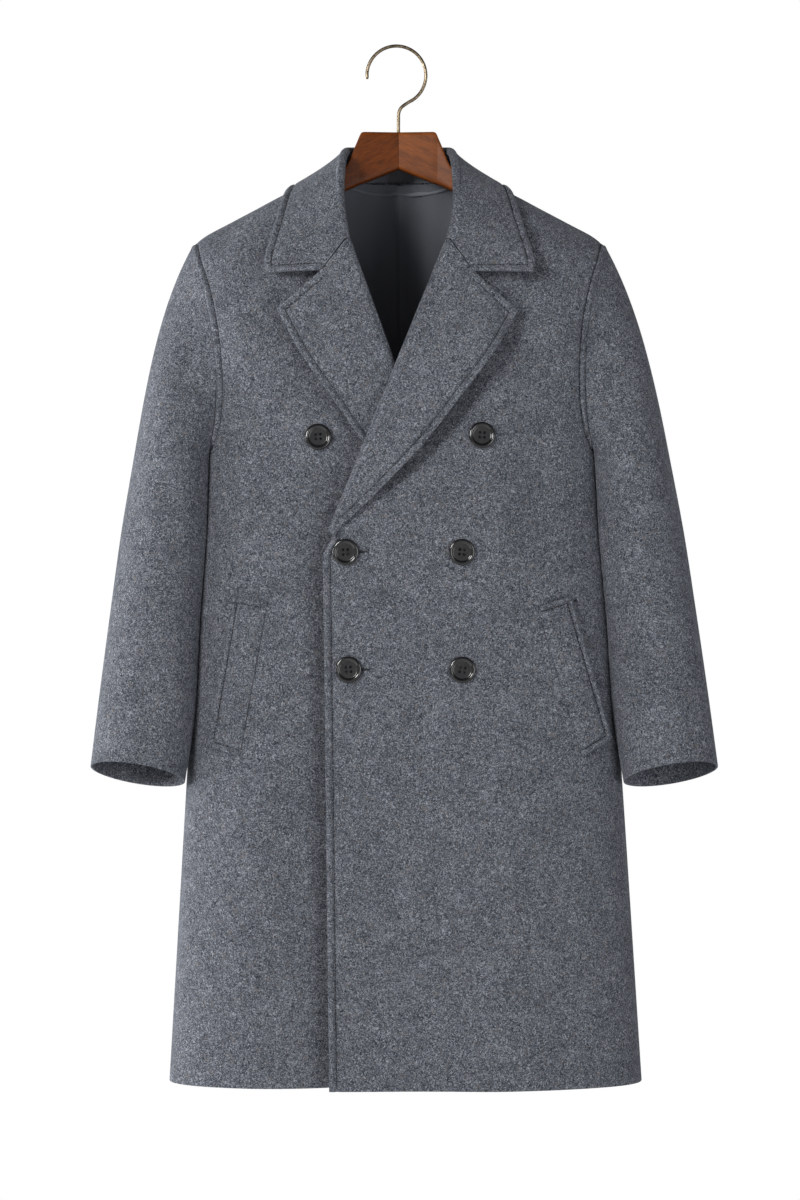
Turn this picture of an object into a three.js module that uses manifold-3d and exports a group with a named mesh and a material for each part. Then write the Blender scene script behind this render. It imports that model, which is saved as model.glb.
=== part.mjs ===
// A double-breasted wool overcoat hanging on a contoured wooden hanger, in millimetres.
// +Z is up and the coat faces -Y. The origin is under the crown of the hook, where the rail bears.
// Every cloth piece is a closed wall, cut to its own seam lines on one body form.
import * as THREE from "three";
import { mergeVertices } from "three/addons/utils/BufferGeometryUtils.js";
import Module from "manifold-3d";

const wasm = await Module();
wasm.setup();

// Cloth and clearances
const COAT_WALL = 3; // melton with its facing
const LEAF_WALL = 3.6; // collar and lapels, two layers and canvas
const SLEEVE_WALL = 2.6;
const LINING_WALL = 1;
const WELT_WALL = 3;
const SEAM_GAP = 0.3;
const LAYER_GAP = 0.9; // between cloths that lie on each other
const LINING_GAP = 1.3;
const LINING_EASE = 2.2; // the lining hangs this far inside the back
const SEAM_TURN = 0.0006; // half a seam gap at the side, as a share of the section
const SEAM_ANGLE = 0.0018; // half a seam gap at the shoulder

// Body form: a rounded section that narrows to the shoulder line
const QUARTER = Math.PI / 2;
const SECTION_POWER = 2.8;
const SECTION_RATIO = 2.4; // width to depth, for even spacing round a section
const SHOULDER = { peak: -93.5, slope: 0.549, softness: 50, tipX: 215, tipDrop: 0.012 };
const SHOULDER_ROUND = 150; // drop over which the front and back reach their full depth
const HEM_Z = -1177;
const BODY_FORM = curveOf([
  // z, half width, front depth, back depth, lean to the wearer's left
  [-1177, 268.5, 101, 101, 6.3],
  [-860, 249, 98, 98, 5.0],
  [-620, 234, 97, 96, 3.4],
  [-467, 224.5, 96, 95, 1.9],
  [-390, 229, 95, 95, 0.9],
  [-300, 243, 93, 95, -0.6],
  [-232, 252, 92, 94, -1.2],
  [-100, 252, 88, 92, -2.0],
]);

// Seam lines, as seen from the front or the back
const ARMHOLE_FRONT = [
  // x from the middle, z
  [237, -232], [231, -250], [225.5, -266], [219, -289], [213.5, -315], [209.5, -345],
  [207.5, -380], [208, -412], [211.5, -438], [217.5, -456], [222.5, -464.5], [224.5, -467],
];
const ARMHOLE_BACK = [
  // x from the middle, z
  [237, -232], [234, -250], [231, -266], [227, -290], [223.5, -320], [221, -350],
  [219, -385], [218, -415], [219, -441], [221.5, -457.5], [223.8, -465], [224.5, -467],
];
const ARMHOLE_STEPS = 14;
const SHOULDER_CROWDING = 1.4; // rows lie closer together near the shoulder line
const GORGE_STEP = 6; // the row that meets the lapel's top
const NECK_POINT = 0.52; // where the neckline crosses the shoulder seam
const NECK_POINT_X = 80;
const NECKLINE = curveOf([
  // place along the half neckline, x from the middle, angle from the shoulder line (front is below 0)
  [0, 57, -1.159],
  [0.18, 66, -0.9],
  [0.36, 74, -0.6],
  [0.46, 79, -0.27],
  [NECK_POINT, NECK_POINT_X, 0],
  [0.6, 77, 0.22],
  [0.7, 66, 0.42],
  [0.82, 46, 0.6],
  [0.93, 20, 0.72],
  [1, 0, 0.742],
]);

// Each front as x and z: the wearer's left one (side 1) laps over the right one (side -1).
const FRONTS = {
  left: { side: 1, gorge: [50.5, -229.5], breakPoint: [-82.5, -563], edgeTop: [-85.4, -582], edgeHem: [-78.5, -1178.5] },
  right: { side: -1, gorge: [-55, -229.2], breakPoint: [65.7, -565], edgeTop: [68, -584], edgeHem: [62, HEM_Z] },
};
// How far the outer face of the wearer's left front stands off the body form, over the right one
const OVERLAP_LIFT = curveOf([
  // z, height
  [HEM_Z, 4.2],
  [-660, 4.4],
  [-600, 8.2],
  [-566, 11],
  [-450, 12.2],
  [-375, 13],
  [-310, 5.5],
  [-240, 0],
  [-100, 0],
]);
const OVERLAP_FULL_X = 92; // the lift fades from here
const OVERLAP_END_X = 158;

// Lapels: the front's cloth turned over at the fold. One pattern serves both sides.
const FOLD_RADIUS = 3.3;
const FOLD_REACH = FOLD_RADIUS + LEAF_WALL / 2; // from the visible fold to the end of its round
const PANEL_FROM_FOLD = FOLD_REACH + 2.7;
const FOLD_BASE = -COAT_WALL / 2;
const FOLD_TOP = FOLD_BASE + 2 * FOLD_RADIUS;
const LEAF_REST = LAYER_GAP + LEAF_WALL / 2;
const LEAF_LOFT = 3.4; // how far a leaf bows off the cloth below it
const HIDDEN = { topZ: -352, fade: 40, loft: 0.3 }; // the under lapel lies flat below the other one
const LOFT_WIDTH = 60; // a narrower leaf bows less
const LAPEL_FOOT = { fold: 0.975, edge: 0.985 }; // shares of the fold where the lapel ends
const LAPEL_HEM = 2.4; // from the end of the fold's round to the lapel's start behind it
const LAPEL_ROWS = 14;
const GORGE_GAP = 0.45;
const NOTCH = { down: 24.4, out: 42.6 };
const TIP = { down: 45.5, out: 103.4 };
const NOTCH_STEP = 3;
const LEAF_STEPS = 7;
const LAPEL_WIDTH = curveOf([
  // share of the way down the fold, width from the fold
  [0.127, 103.4],
  [0.217, 98.4],
  [0.309, 92.5],
  [0.456, 78.5],
  [0.6, 64.5],
  [0.745, 44.3],
  [0.88, 23.5],
  [0.95, 12],
  [1, 8],
]);

const COLLAR_STATIONS = curveOf([
  // place, fold x y z, leaf edge x, leaf edge angle, leaf edge height, bow
  [0, 56, -88, -228, 145, -1.17, 4.4, 0],
  [0.1, 60.5, -82, -203, 147.5, -1.07, 4.4, 1],
  [0.22, 64.5, -68, -172, 143.5, -0.9, 4, 1.5],
  [0.36, 64.5, -43, -141, 134.5, -0.62, 3.3, -1],
  [NECK_POINT, 61, -2, -120, 122.5, -0.06, 2.9, -4],
  [0.66, 53, 30, -114, 109, 0.5, 2.9, -3],
  [0.8, 36, 55, -111.5, 84, 0.78, 3, 0],
  [0.92, 14, 67, -110.5, 34, 0.99, 3.2, 2],
  [1, 0, 69, -110.5, 0, 1.02, 3.2, 3],
]);
const COLLAR_STEPS = 16;
const FOOT_RISE = 4.5; // the stand starts clear of the neckline's edge
const FRONT_END = { fold: 0.14, notch: 0.3, upright: 0.36, loft: 0.42 }; // places where the gorge's hold on the collar fades
const STAND_TURN = { share: 0.3, least: 0.9 }; // a low stand turns over in a smaller round
const BAND_PLACE = 0.62; // the dark band lines the stand from here to the middle of the back

const SLEEVE_FORM = curveOf([
  // share of the way from the underarm to the cuff, outer x, inner x, y of the middle, half depth, tilt
  [0, 303, 212, -9, 73, 4],
  [0.26, 319, 216.5, -16, 69, 7],
  [0.51, 331.3, 227, -26, 62, 11],
  [0.77, 343.3, 234.5, -38, 54, 15],
  [1, 353, 246.8, -51, 46, 17.5],
]);
const SLEEVE_TOP_Z = -470;
const CUFF_Z = -828;
const SLEEVE_SLANT = 0.15; // rise of each ring to its outer side
const SLEEVE_CLEARANCE = 1.6;
const CAP_STEPS = 7;
const TUBE_STEPS = 8;
const CAP_SHARE = 0.04; // the cap meets the tube in the direction of this share of it
const UNDERARM = { half: 0.3, fade: 0.25, lift: 0.7 }; // the cap's lower part springs off the body form
const CAP_SPRING = { normal: 0.12, fall: 0.8, underFall: 3 };
const SLEEVE_SEAMS = { front: 10 / 28, back: 20 / 28 }; // as shares of a turn from the outer side

const BUTTON = { radius: 14.8, height: 4.8, rimWidth: 3.4, dish: 1.4, hole: 1.15, holeSpread: 5.2, sides: 18 };
const BUTTON_GAP = 0.6;
const BUTTONS = [
  // name, x, z, front that carries it
  ["button_upper_right", -91.5, -450.3, FRONTS.right],
  ["button_upper_left", 90.1, -449.2, FRONTS.left],
  ["button_middle_right", -59.8, -578.6, FRONTS.left],
  ["button_middle_left", 68.1, -578.6, FRONTS.left],
  ["button_lower_right", -57, -709.2, FRONTS.left],
  ["button_lower_left", 69.2, -709.6, FRONTS.left],
];
const WELTS = [
  // name, front, then top outer, top inner, bottom inner and bottom outer corners as x and z
  ["welt_left", FRONTS.left, [188.5, -628], [152.5, -640], [202.2, -807.5], [232.5, -788]],
  ["welt_right", FRONTS.right, [-184.5, -628.5], [-148.5, -634.5], [-179, -806.5], [-212, -795.5]],
];

const HANGER_ARM = curveOf([
  // x from the mitre, top z, bottom z, y of the middle, half thickness
  [0, -97.5, -139.6, 15, 8.5],
  [43, -97.8, -157.3, 8.6, 9],
  [58, -135.5, -164, 6, 10],
  [76, -150.5, -172, 3, 11],
  [100, -160.2, -183, 0, 12.5],
  [150, -186, -208.5, -4, 16],
  [205, -215, -238, -7, 19],
  [223, -229, -244, -8, 15],
]);
const HANGER_GAP = { crest: 0.5, beside: 1.7, reach: 8 }; // under the shoulders' cloth, more beside their seam
const HOOK = { x: -4.1, wire: 1.9, radius: 33.7, tipTurn: 187, leaveTurn: -66, stemX: -1.7, foot: -128 };
const STEM = [
  // x from the stem, z: the bend between the hook's round and the straight stem
  [3.4, -68.4],
  [0.4, -74.6],
  [0, -83],
  [0, -105],
];
const HOOK_SIDES = 8;
const HOOK_STEPS = 42;

// Numbers and curves
function mix(a, b, t) {
  return a + (b - a) * t;
}

function ease(t) {
  const k = Math.min(1, Math.max(0, t));
  return k * k * (3 - 2 * k);
}

// Rows of a table become a smooth curve: its first column is the place, the others are read there.
function curveOf(rows) {
  const slope = (i, c) => {
    const a = rows[Math.max(0, i - 1)];
    const b = rows[Math.min(rows.length - 1, i + 1)];
    return (b[c] - a[c]) / (b[0] - a[0]);
  };
  return (place) => {
    const last = rows.length - 1;
    const p = Math.min(rows[last][0], Math.max(rows[0][0], place));
    let i = 0;
    while (i < last - 1 && p > rows[i + 1][0]) i += 1;
    const [a, b] = [rows[i], rows[i + 1]];
    const span = b[0] - a[0];
    const t = (p - a[0]) / span;
    const [t2, t3] = [t * t, t * t * t];
    return a.slice(1).map((value, k) => {
      const c = k + 1;
      const flow = slope(i, c) * (t3 - 2 * t2 + t) + slope(i + 1, c) * (t3 - t2);
      return value * (2 * t3 - 3 * t2 + 1) + b[c] * (3 * t2 - 2 * t3) + span * flow;
    });
  };
}

// Points spaced along a line of points, each with its place among them. Crowding over 1 draws them to its start.
function spaced(points, count, crowding = 1) {
  const along = [0];
  for (let i = 1; i < points.length; i += 1) along.push(along[i - 1] + points[i].distanceTo(points[i - 1]));
  return Array.from({ length: count + 1 }, (_, k) => {
    const want = along[along.length - 1] * (k / count) ** crowding;
    let i = 1;
    while (i < points.length - 1 && along[i] < want) i += 1;
    const t = (want - along[i - 1]) / (along[i] - along[i - 1]);
    return { at: i - 1 + t, point: points[i - 1].clone().lerp(points[i], t) };
  });
}

// Body form
// One quarter of the section, from the middle of the front to the side, evenly spaced
const QUARTER_SECTION = (() => {
  const [STEPS, SPACES] = [400, 160];
  const power = 2 / SECTION_POWER;
  const raw = Array.from({ length: STEPS + 1 }, (_, i) => {
    const t = (QUARTER * i) / STEPS;
    return new THREE.Vector3(SECTION_RATIO * Math.sin(t) ** power, Math.max(0, Math.cos(t)) ** power, 0);
  });
  return spaced(raw, SPACES).map(({ point }) => [point.x / SECTION_RATIO, point.y]);
})();

// Across and forward shares at a turn: 0 is the middle, 1 and -1 are the side seams
function sectionAt(turn) {
  const t = Math.abs(turn);
  const folded = t > 1 ? 2 - t : t;
  const f = folded * (QUARTER_SECTION.length - 1);
  const i = Math.min(QUARTER_SECTION.length - 2, Math.floor(f));
  const [a, b] = [QUARTER_SECTION[i], QUARTER_SECTION[i + 1]];
  return [Math.sign(turn) * mix(a[0], b[0], f - i), (t > 1 ? -1 : 1) * mix(a[1], b[1], f - i)];
}

function turnOf(share) {
  const want = Math.min(1, Math.abs(share));
  let i = 0;
  while (i < QUARTER_SECTION.length - 2 && QUARTER_SECTION[i + 1][0] < want) i += 1;
  const [a, b] = [QUARTER_SECTION[i][0], QUARTER_SECTION[i + 1][0]];
  return (Math.sign(share) * (i + (want - a) / (b - a))) / (QUARTER_SECTION.length - 1);
}

function shoulderZ(x) {
  const past = Math.max(0, Math.abs(x) - SHOULDER.tipX);
  return SHOULDER.peak - SHOULDER.slope * Math.hypot(x, SHOULDER.softness) - SHOULDER.tipDrop * past * past;
}

function dropOf(angle) {
  const a = Math.abs(angle);
  return SHOULDER_ROUND * (a < QUARTER ? 1 - Math.cos(a) : 1 + a - QUARTER);
}

function angleOf(drop) {
  const d = Math.max(0, drop) / SHOULDER_ROUND;
  return d < 1 ? Math.acos(1 - d) : QUARTER + d - 1;
}

// A point of the body form. Angles run down from the shoulder line, below 0 on the front.
function formPoint(turn, angle) {
  const [across, forward] = sectionAt(turn);
  const [START_Z, TRIES] = [-300, 6]; // the width depends on z, so z settles in a few tries
  let z = START_Z;
  for (let i = 0; i < TRIES; i += 1) z = shoulderZ(BODY_FORM(z)[0] * across) - dropOf(angle);
  const [width, front, back, lean] = BODY_FORM(z);
  const depth = angle < 0 ? front : back;
  const rise = Math.sign(angle) * Math.sin(Math.min(Math.abs(angle), QUARTER));
  return new THREE.Vector3(lean + width * across, depth * forward * rise, z);
}

function formNormal(turn, angle) {
  const STEP = 0.004;
  const across = formPoint(turn + STEP, angle).sub(formPoint(turn - STEP, angle));
  const down = formPoint(turn, angle + STEP).sub(formPoint(turn, angle - STEP));
  return across.cross(down).normalize();
}

function off(turn, angle, height) {
  return formPoint(turn, angle).addScaledVector(formNormal(turn, angle), height);
}

// Turn and angle of the place seen at x and z on the front (-1) or the back (1)
function seenAt(face, x, z) {
  const [width, , , lean] = BODY_FORM(z);
  return [turnOf((x - lean) / width), face * angleOf(shoulderZ(x - lean) - z)];
}

// Height of a point over the body form, with the form's normal there
function over(p) {
  const [width, front, back, lean] = BODY_FORM(p.z);
  const turn = turnOf((p.x - lean) / width);
  const depth = Math.max(1, (p.y < 0 ? front : back) * sectionAt(turn)[1]);
  const centre = shoulderZ(p.x - lean) - SHOULDER_ROUND;
  const round = Math.atan2(Math.abs(p.y) / depth, (p.z - centre) / SHOULDER_ROUND);
  const angle = (p.y < 0 ? -1 : 1) * Math.max(SEAM_ANGLE, p.z > centre ? round : angleOf(centre + SHOULDER_ROUND - p.z));
  const normal = formNormal(turn, angle);
  return { height: p.clone().sub(formPoint(turn, angle)).dot(normal), normal };
}

// Half width of the body form beside a point
function halfWidthBeside(p) {
  const [width, front, back] = BODY_FORM(p.z);
  const share = Math.min(1, Math.abs(p.y) / (p.y < 0 ? front : back));
  return width * (1 - share ** SECTION_POWER) ** (1 / SECTION_POWER);
}

// Solids
// A geometry from points and faces, turned so that its faces point out
function closed(points, faces) {
  let volume = 0;
  for (let i = 0; i < faces.length; i += 3) {
    const [a, b, c] = [points[faces[i]], points[faces[i + 1]], points[faces[i + 2]]];
    volume += a.dot(b.clone().cross(c));
  }
  if (volume < 0) {
    for (let i = 0; i < faces.length; i += 3) [faces[i], faces[i + 1]] = [faces[i + 1], faces[i]];
  }
  const geometry = new THREE.BufferGeometry();
  geometry.setAttribute("position", new THREE.Float32BufferAttribute(points.flatMap((p) => [p.x, p.y, p.z]), 3));
  geometry.setIndex(faces);
  return geometry;
}

// A closed wall between two grids of points of the same size
function wallBetween(outer, inner) {
  const rows = outer.length;
  const cols = outer[0].length;
  const points = [...outer.flat(), ...inner.flat()];
  const near = (r, c) => r * cols + c;
  const far = (r, c) => rows * cols + near(r, c);
  const faces = [];
  const quad = (a, b, c, d) => faces.push(a, b, c, a, c, d);
  for (let r = 0; r < rows - 1; r += 1) {
    for (let c = 0; c < cols - 1; c += 1) {
      quad(near(r, c), near(r + 1, c), near(r + 1, c + 1), near(r, c + 1));
      quad(far(r, c), far(r, c + 1), far(r + 1, c + 1), far(r + 1, c));
    }
    quad(near(r, 0), far(r, 0), far(r + 1, 0), near(r + 1, 0));
    quad(near(r + 1, cols - 1), far(r + 1, cols - 1), far(r, cols - 1), near(r, cols - 1));
  }
  for (let c = 0; c < cols - 1; c += 1) {
    quad(near(0, c + 1), far(0, c + 1), far(0, c), near(0, c));
    quad(near(rows - 1, c), far(rows - 1, c), far(rows - 1, c + 1), near(rows - 1, c + 1));
  }
  return closed(points, faces);
}

// Normals of a grid of points, by its neighbours
function gridNormals(grid) {
  const row = (r) => grid[Math.min(grid.length - 1, Math.max(0, r))];
  const cell = (line, c) => line[Math.min(line.length - 1, Math.max(0, c))];
  return grid.map((line, r) =>
    line.map((_, c) => {
      const down = row(r + 1)[c].clone().sub(row(r - 1)[c]);
      const across = cell(line, c + 1).clone().sub(cell(line, c - 1));
      return down.cross(across).normalize();
    }),
  );
}

// A wall of even thickness about a grid of points
function wallAround(middle, thickness) {
  const normals = gridNormals(middle);
  const shifted = (way) =>
    middle.map((line, r) => line.map((p, c) => p.clone().addScaledVector(normals[r][c], (way * thickness) / 2)));
  return wallBetween(shifted(1), shifted(-1));
}

function toSolid(geometry) {
  const bare = new THREE.BufferGeometry();
  bare.setAttribute("position", geometry.getAttribute("position"));
  if (geometry.index) bare.setIndex(geometry.index);
  const merged = mergeVertices(bare, 1e-4);
  const vertProperties = new Float32Array(merged.getAttribute("position").array);
  return new wasm.Manifold(new wasm.Mesh({ numProp: 3, vertProperties, triVerts: new Uint32Array(merged.index.array) }));
}

function fromSolid(solid) {
  const mesh = solid.getMesh();
  const geometry = new THREE.BufferGeometry();
  geometry.setAttribute("position", new THREE.BufferAttribute(new Float32Array(mesh.vertProperties), 3));
  geometry.setIndex(new THREE.BufferAttribute(new Uint32Array(mesh.triVerts), 1));
  return geometry;
}

// Body panels
const SIDE_LEVELS = [-492, -528, -566, -600, -660, -740, -850, -960, -1070, HEM_Z];
const BACK_COLS = 24;
const FRONT_COLS = 12;
const NECK_COLS = 6; // of the half back, along the neckline

// The armhole as turns and angles, from the shoulder to the underarm
function armhole(face, side) {
  const table = face < 0 ? ARMHOLE_FRONT : ARMHOLE_BACK;
  const smooth = curveOf(
    table.map(([x, z], i) => {
      const [width, , , lean] = BODY_FORM(z);
      const turn = i === table.length - 1 ? 1 - SEAM_TURN : turnOf(Math.min(x / width, 1 - SEAM_TURN));
      return [i, side * turn, i === 0 ? 0 : seenAt(face, lean + side * x, z)[1]];
    }),
  );
  const FINE = 12;
  const fine = Array.from({ length: (table.length - 1) * FINE + 1 }, (_, k) => smooth(k / FINE));
  return spaced(fine.map((place) => formPoint(...place)), ARMHOLE_STEPS, SHOULDER_CROWDING).map(({ at }) => {
    const [turn, angle] = smooth(at / FINE);
    return [turn, face * Math.max(SEAM_ANGLE, Math.abs(angle))];
  });
}

// One row of a panel. It hangs with the shoulder high up (level 0) and is straight low down (level 1).
function panelRow(face, from, to, shares, level) {
  const [zFrom, zTo] = [formPoint(...from).z, formPoint(...to).z];
  return shares.map((t) => {
    const turn = mix(from[0], to[0], t);
    const slung = mix(Math.abs(from[1]), Math.abs(to[1]), t);
    const wanted = mix(formPoint(turn, face * slung).z, mix(zFrom, zTo, t), level);
    const straight = angleOf(shoulderZ(BODY_FORM(wanted)[0] * sectionAt(turn)[0]) - wanted);
    return [turn, face * Math.max(SEAM_ANGLE, mix(slung, straight, level))];
  });
}

function evenShares(cols) {
  return Array.from({ length: cols + 1 }, (_, k) => k / cols);
}

// Rows of turns and angles become a wall whose outer face stands off the form by lift
function panelWall(rows, thickness, lift = () => 0) {
  const face = (depth) =>
    rows.map((row) =>
      row.map(([turn, angle]) => {
        const p = formPoint(turn, angle);
        return p.addScaledVector(formNormal(turn, angle), lift(p.x, p.z) - depth);
      }),
    );
  return wallBetween(face(0), face(thickness));
}

function neckTurn(x, angle) {
  return turnOf(x / BODY_FORM(shoulderZ(x) - dropOf(angle))[0]);
}

// The back's rows: the neckline and shoulder seams, the armholes, then the side seams
function backRows(cols) {
  const [left, right] = [armhole(1, 1), armhole(1, -1)];
  const half = cols / 2;
  const topHalf = Array.from({ length: half + 1 }, (_, k) => {
    if (k < NECK_COLS) {
      const [x, angle] = NECKLINE(mix(1, NECK_POINT, k / NECK_COLS));
      return [neckTurn(x, angle), Math.max(angle, SEAM_ANGLE)];
    }
    return [mix(neckTurn(NECK_POINT_X, 0), left[0][0], (k - NECK_COLS) / (half - NECK_COLS)), SEAM_ANGLE];
  });
  const top = [...topHalf.slice(1).reverse().map(([turn, angle]) => [-turn, angle]), ...topHalf];
  const topShares = top.map(([turn]) => 0.5 + turn / (2 * left[0][0]));
  const NECK_FADE_ROWS = 7;
  const rows = left.map((place, i) => {
    const fade = Math.max(0, 1 - i / NECK_FADE_ROWS);
    const shares = evenShares(cols).map((share, c) => mix(share, topShares[c], fade));
    const row = panelRow(1, right[i], place, shares, ease((i - 1) / ARMHOLE_STEPS));
    return i === 0 ? top : row.map(([turn, angle], c) => [turn, Math.hypot(angle, top[c][1] * fade)]);
  });
  for (const z of SIDE_LEVELS) {
    const [width, , , lean] = BODY_FORM(z);
    const ends = [-1, 1].map((side) => [side * (1 - SEAM_TURN), seenAt(1, lean + side * width, z)[1]]);
    rows.push(panelRow(1, ...ends, evenShares(cols), 1));
  }
  return rows;
}

// Place along the front neckline at a height
function neckPlaceAt(z) {
  let [low, high] = [0, NECK_POINT];
  for (let i = 0; i < 30; i += 1) {
    const middle = (low + high) / 2;
    const [x, angle] = NECKLINE(middle);
    if (shoulderZ(x) - dropOf(angle) > z) high = middle;
    else low = middle;
  }
  return low;
}

// Unit steps down a front's fold and out from it, and the fold's length
function foldFrame({ side, gorge, breakPoint }) {
  const [dx, dz] = [breakPoint[0] - gorge[0], breakPoint[1] - gorge[1]];
  const length = Math.hypot(dx, dz);
  return { length, down: [dx / length, dz / length], out: [(-side * dz) / length, (side * dx) / length] };
}

// x and z of a place down a front's fold and out from it
function foldSpot(front, down, out) {
  const frame = foldFrame(front);
  return [0, 1].map((i) => front.gorge[i] + frame.down[i] * down + frame.out[i] * out);
}

// x of a front's free edge: down the neckline, inside the lapel's fold, then the front edge
function frontInner(front, z) {
  const { side, gorge, breakPoint, edgeTop, edgeHem } = front;
  const foldEdge = (t) => mix(gorge[0], breakPoint[0], t) + (side * PANEL_FROM_FOLD) / Math.abs(foldFrame(front).out[0]);
  const NECK_TURN_Z = -198;
  if (z > gorge[1]) {
    const neckX = BODY_FORM(z)[3] + side * NECKLINE(neckPlaceAt(z))[0];
    return mix(neckX, foldEdge(0), ease((z - NECK_TURN_Z) / (gorge[1] - NECK_TURN_Z)));
  }
  if (z > breakPoint[1]) return foldEdge((z - gorge[1]) / (breakPoint[1] - gorge[1]));
  if (z > edgeTop[1]) return mix(foldEdge(1), edgeTop[0], (z - breakPoint[1]) / (edgeTop[1] - breakPoint[1]));
  return mix(edgeTop[0], edgeHem[0], (z - edgeTop[1]) / (edgeHem[1] - edgeTop[1]));
}

function frontLift({ side }, x, z) {
  if (side < 0) return 0;
  return Math.max(0, OVERLAP_LIFT(z)[0]) * ease((OVERLAP_END_X - x) / (OVERLAP_END_X - OVERLAP_FULL_X));
}

function frontRows(front, cols) {
  const shares = evenShares(cols);
  const UNDERARM_LEVEL = -466;
  const NECK_CROWDING = 1.6;
  const neck = [front.side * neckTurn(NECK_POINT_X, 0), -SEAM_ANGLE];
  const neckZ = formPoint(...neck).z;
  const rows = armhole(-1, front.side).map((place, i) => {
    const z =
      i <= GORGE_STEP
        ? mix(neckZ, front.gorge[1], (i / GORGE_STEP) ** NECK_CROWDING)
        : mix(front.gorge[1], UNDERARM_LEVEL, (i - GORGE_STEP) / (ARMHOLE_STEPS - GORGE_STEP));
    const from = i === 0 ? neck : seenAt(-1, frontInner(front, z), z);
    return panelRow(-1, from, place, shares, ease((i - 2) / (ARMHOLE_STEPS - 2)));
  });
  const breakLevels = [front.breakPoint[1], front.edgeTop[1]];
  SIDE_LEVELS.forEach((z, i) => {
    const inner = { 2: breakLevels[0], 3: breakLevels[1] }[i] ?? (z === HEM_Z ? front.edgeHem[1] : z);
    const [width, , , lean] = BODY_FORM(z);
    const side = [front.side * (1 - SEAM_TURN), seenAt(-1, lean + front.side * width, z)[1]];
    rows.push(panelRow(-1, seenAt(-1, frontInner(front, inner), inner), side, shares, 1));
  });
  return rows;
}

// Lapels and collar
// A point seen at x and z, that far off the outer face of a front
function onFront(front, [x, z], height) {
  return off(...seenAt(-1, x, z), frontLift(front, x, z) + height);
}

// Height of a leaf's middle at a share of its width
function leafHeight(share, loft) {
  return mix(FOLD_TOP, LEAF_REST, ease(share)) + loft * Math.sin(Math.PI * Math.min(1, 0.25 + 0.6 * share));
}

function lapel(front) {
  const { length } = foldFrame(front);
  const rows = evenShares(LAPEL_ROWS).map((t) => {
    const foldDown = mix(GORGE_GAP, length * LAPEL_FOOT.fold, t);
    const edgeDown = mix(TIP.down + GORGE_GAP, length * LAPEL_FOOT.edge, t);
    const [width] = LAPEL_WIDTH(edgeDown / length);
    const start = FOLD_REACH / width;
    const hidden = front.side < 0 ? ease((HIDDEN.topZ - foldSpot(front, foldDown, 0)[1]) / HIDDEN.fade) : 0;
    const loft = mix(LEAF_LOFT, HIDDEN.loft, hidden) * ease(width / LOFT_WIDTH);
    const spot = (step) => {
      const share = step / LEAF_STEPS;
      const plain = [mix(foldDown, edgeDown, mix(start, 1, share)), width * mix(start, 1, share)];
      const notch = [NOTCH.down + GORGE_GAP, NOTCH.out];
      const [a, b, k] =
        step < NOTCH_STEP
          ? [[foldDown + start * NOTCH.down, FOLD_REACH], notch, step / NOTCH_STEP]
          : [notch, [edgeDown, width], (step - NOTCH_STEP) / (LEAF_STEPS - NOTCH_STEP)];
      const bend = Math.max(0, 1 - 4 * t) ** 2;
      return foldSpot(front, ...[0, 1].map((i) => mix(plain[i], mix(a[i], b[i], k), bend)));
    };
    // Out of the front's edge, round the fold, then across the leaf
    const roll = [-1, -0.5, 0, 0.5].map((quarter) => [
      FOLD_REACH - FOLD_RADIUS * Math.cos(quarter * QUARTER),
      FOLD_BASE + FOLD_RADIUS * (1 + Math.sin(quarter * QUARTER)),
    ]);
    const wrap = [[FOLD_REACH + LAPEL_HEM, FOLD_BASE], ...roll];
    return [
      ...wrap.map(([out, height]) => onFront(front, foldSpot(front, foldDown, out), height)),
      ...Array.from({ length: LEAF_STEPS + 1 }, (_, step) =>
        onFront(front, spot(step), leafHeight(mix(start, 1, step / LEAF_STEPS), loft)),
      ),
    ];
  });
  return wallAround(rows, LEAF_WALL);
}

// The collar's fold at one place: its seam, the centre of its turn, and the ways up and out of it
function collarFold(place, side) {
  const front = side > 0 ? FRONTS.left : FRONTS.right;
  const [foldX, foldY, foldZ, leafX, leafAngle, leafOff, bow] = COLLAR_STATIONS(place);
  const lean = BODY_FORM(foldZ)[3];
  const atGorge = onFront(front, foldSpot(front, -GORGE_GAP, FOLD_REACH - FOLD_RADIUS), FOLD_BASE + FOLD_RADIUS);
  const fold = new THREE.Vector3(lean + side * foldX, foldY, foldZ).lerp(atGorge, 1 - ease(place / FRONT_END.fold));
  const [neckX, neckAngle] = NECKLINE(place);
  const neckZ = shoulderZ(neckX) - dropOf(neckAngle);
  const neck = neckAngle < 0 ? seenAt(-1, frontInner(front, neckZ), neckZ) : [side * neckTurn(neckX, neckAngle), neckAngle];
  const seam = off(...neck, FOLD_BASE);
  const leaf = off(side * neckTurn(leafX, leafAngle), leafAngle, leafOff);
  const flat = leaf.clone().sub(fold).setZ(0).normalize();
  const out = formNormal(...seenAt(-1, fold.x, fold.z)).lerp(flat, ease(place / FRONT_END.upright)).normalize();
  const fall = leaf.clone().sub(fold).normalize();
  const up = fall.clone().addScaledVector(out, -fall.dot(out)).normalize().negate();
  const radius = Math.min(FOLD_RADIUS, STAND_TURN.share * fold.distanceTo(seam) + STAND_TURN.least);
  const centre = fold.clone().addScaledVector(up, -radius);
  const foot = seam.clone().addScaledVector(fold.clone().sub(seam).normalize(), SEAM_GAP + FOOT_RISE);
  return { foot, centre, radius, up, out, leaf, bow };
}

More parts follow.
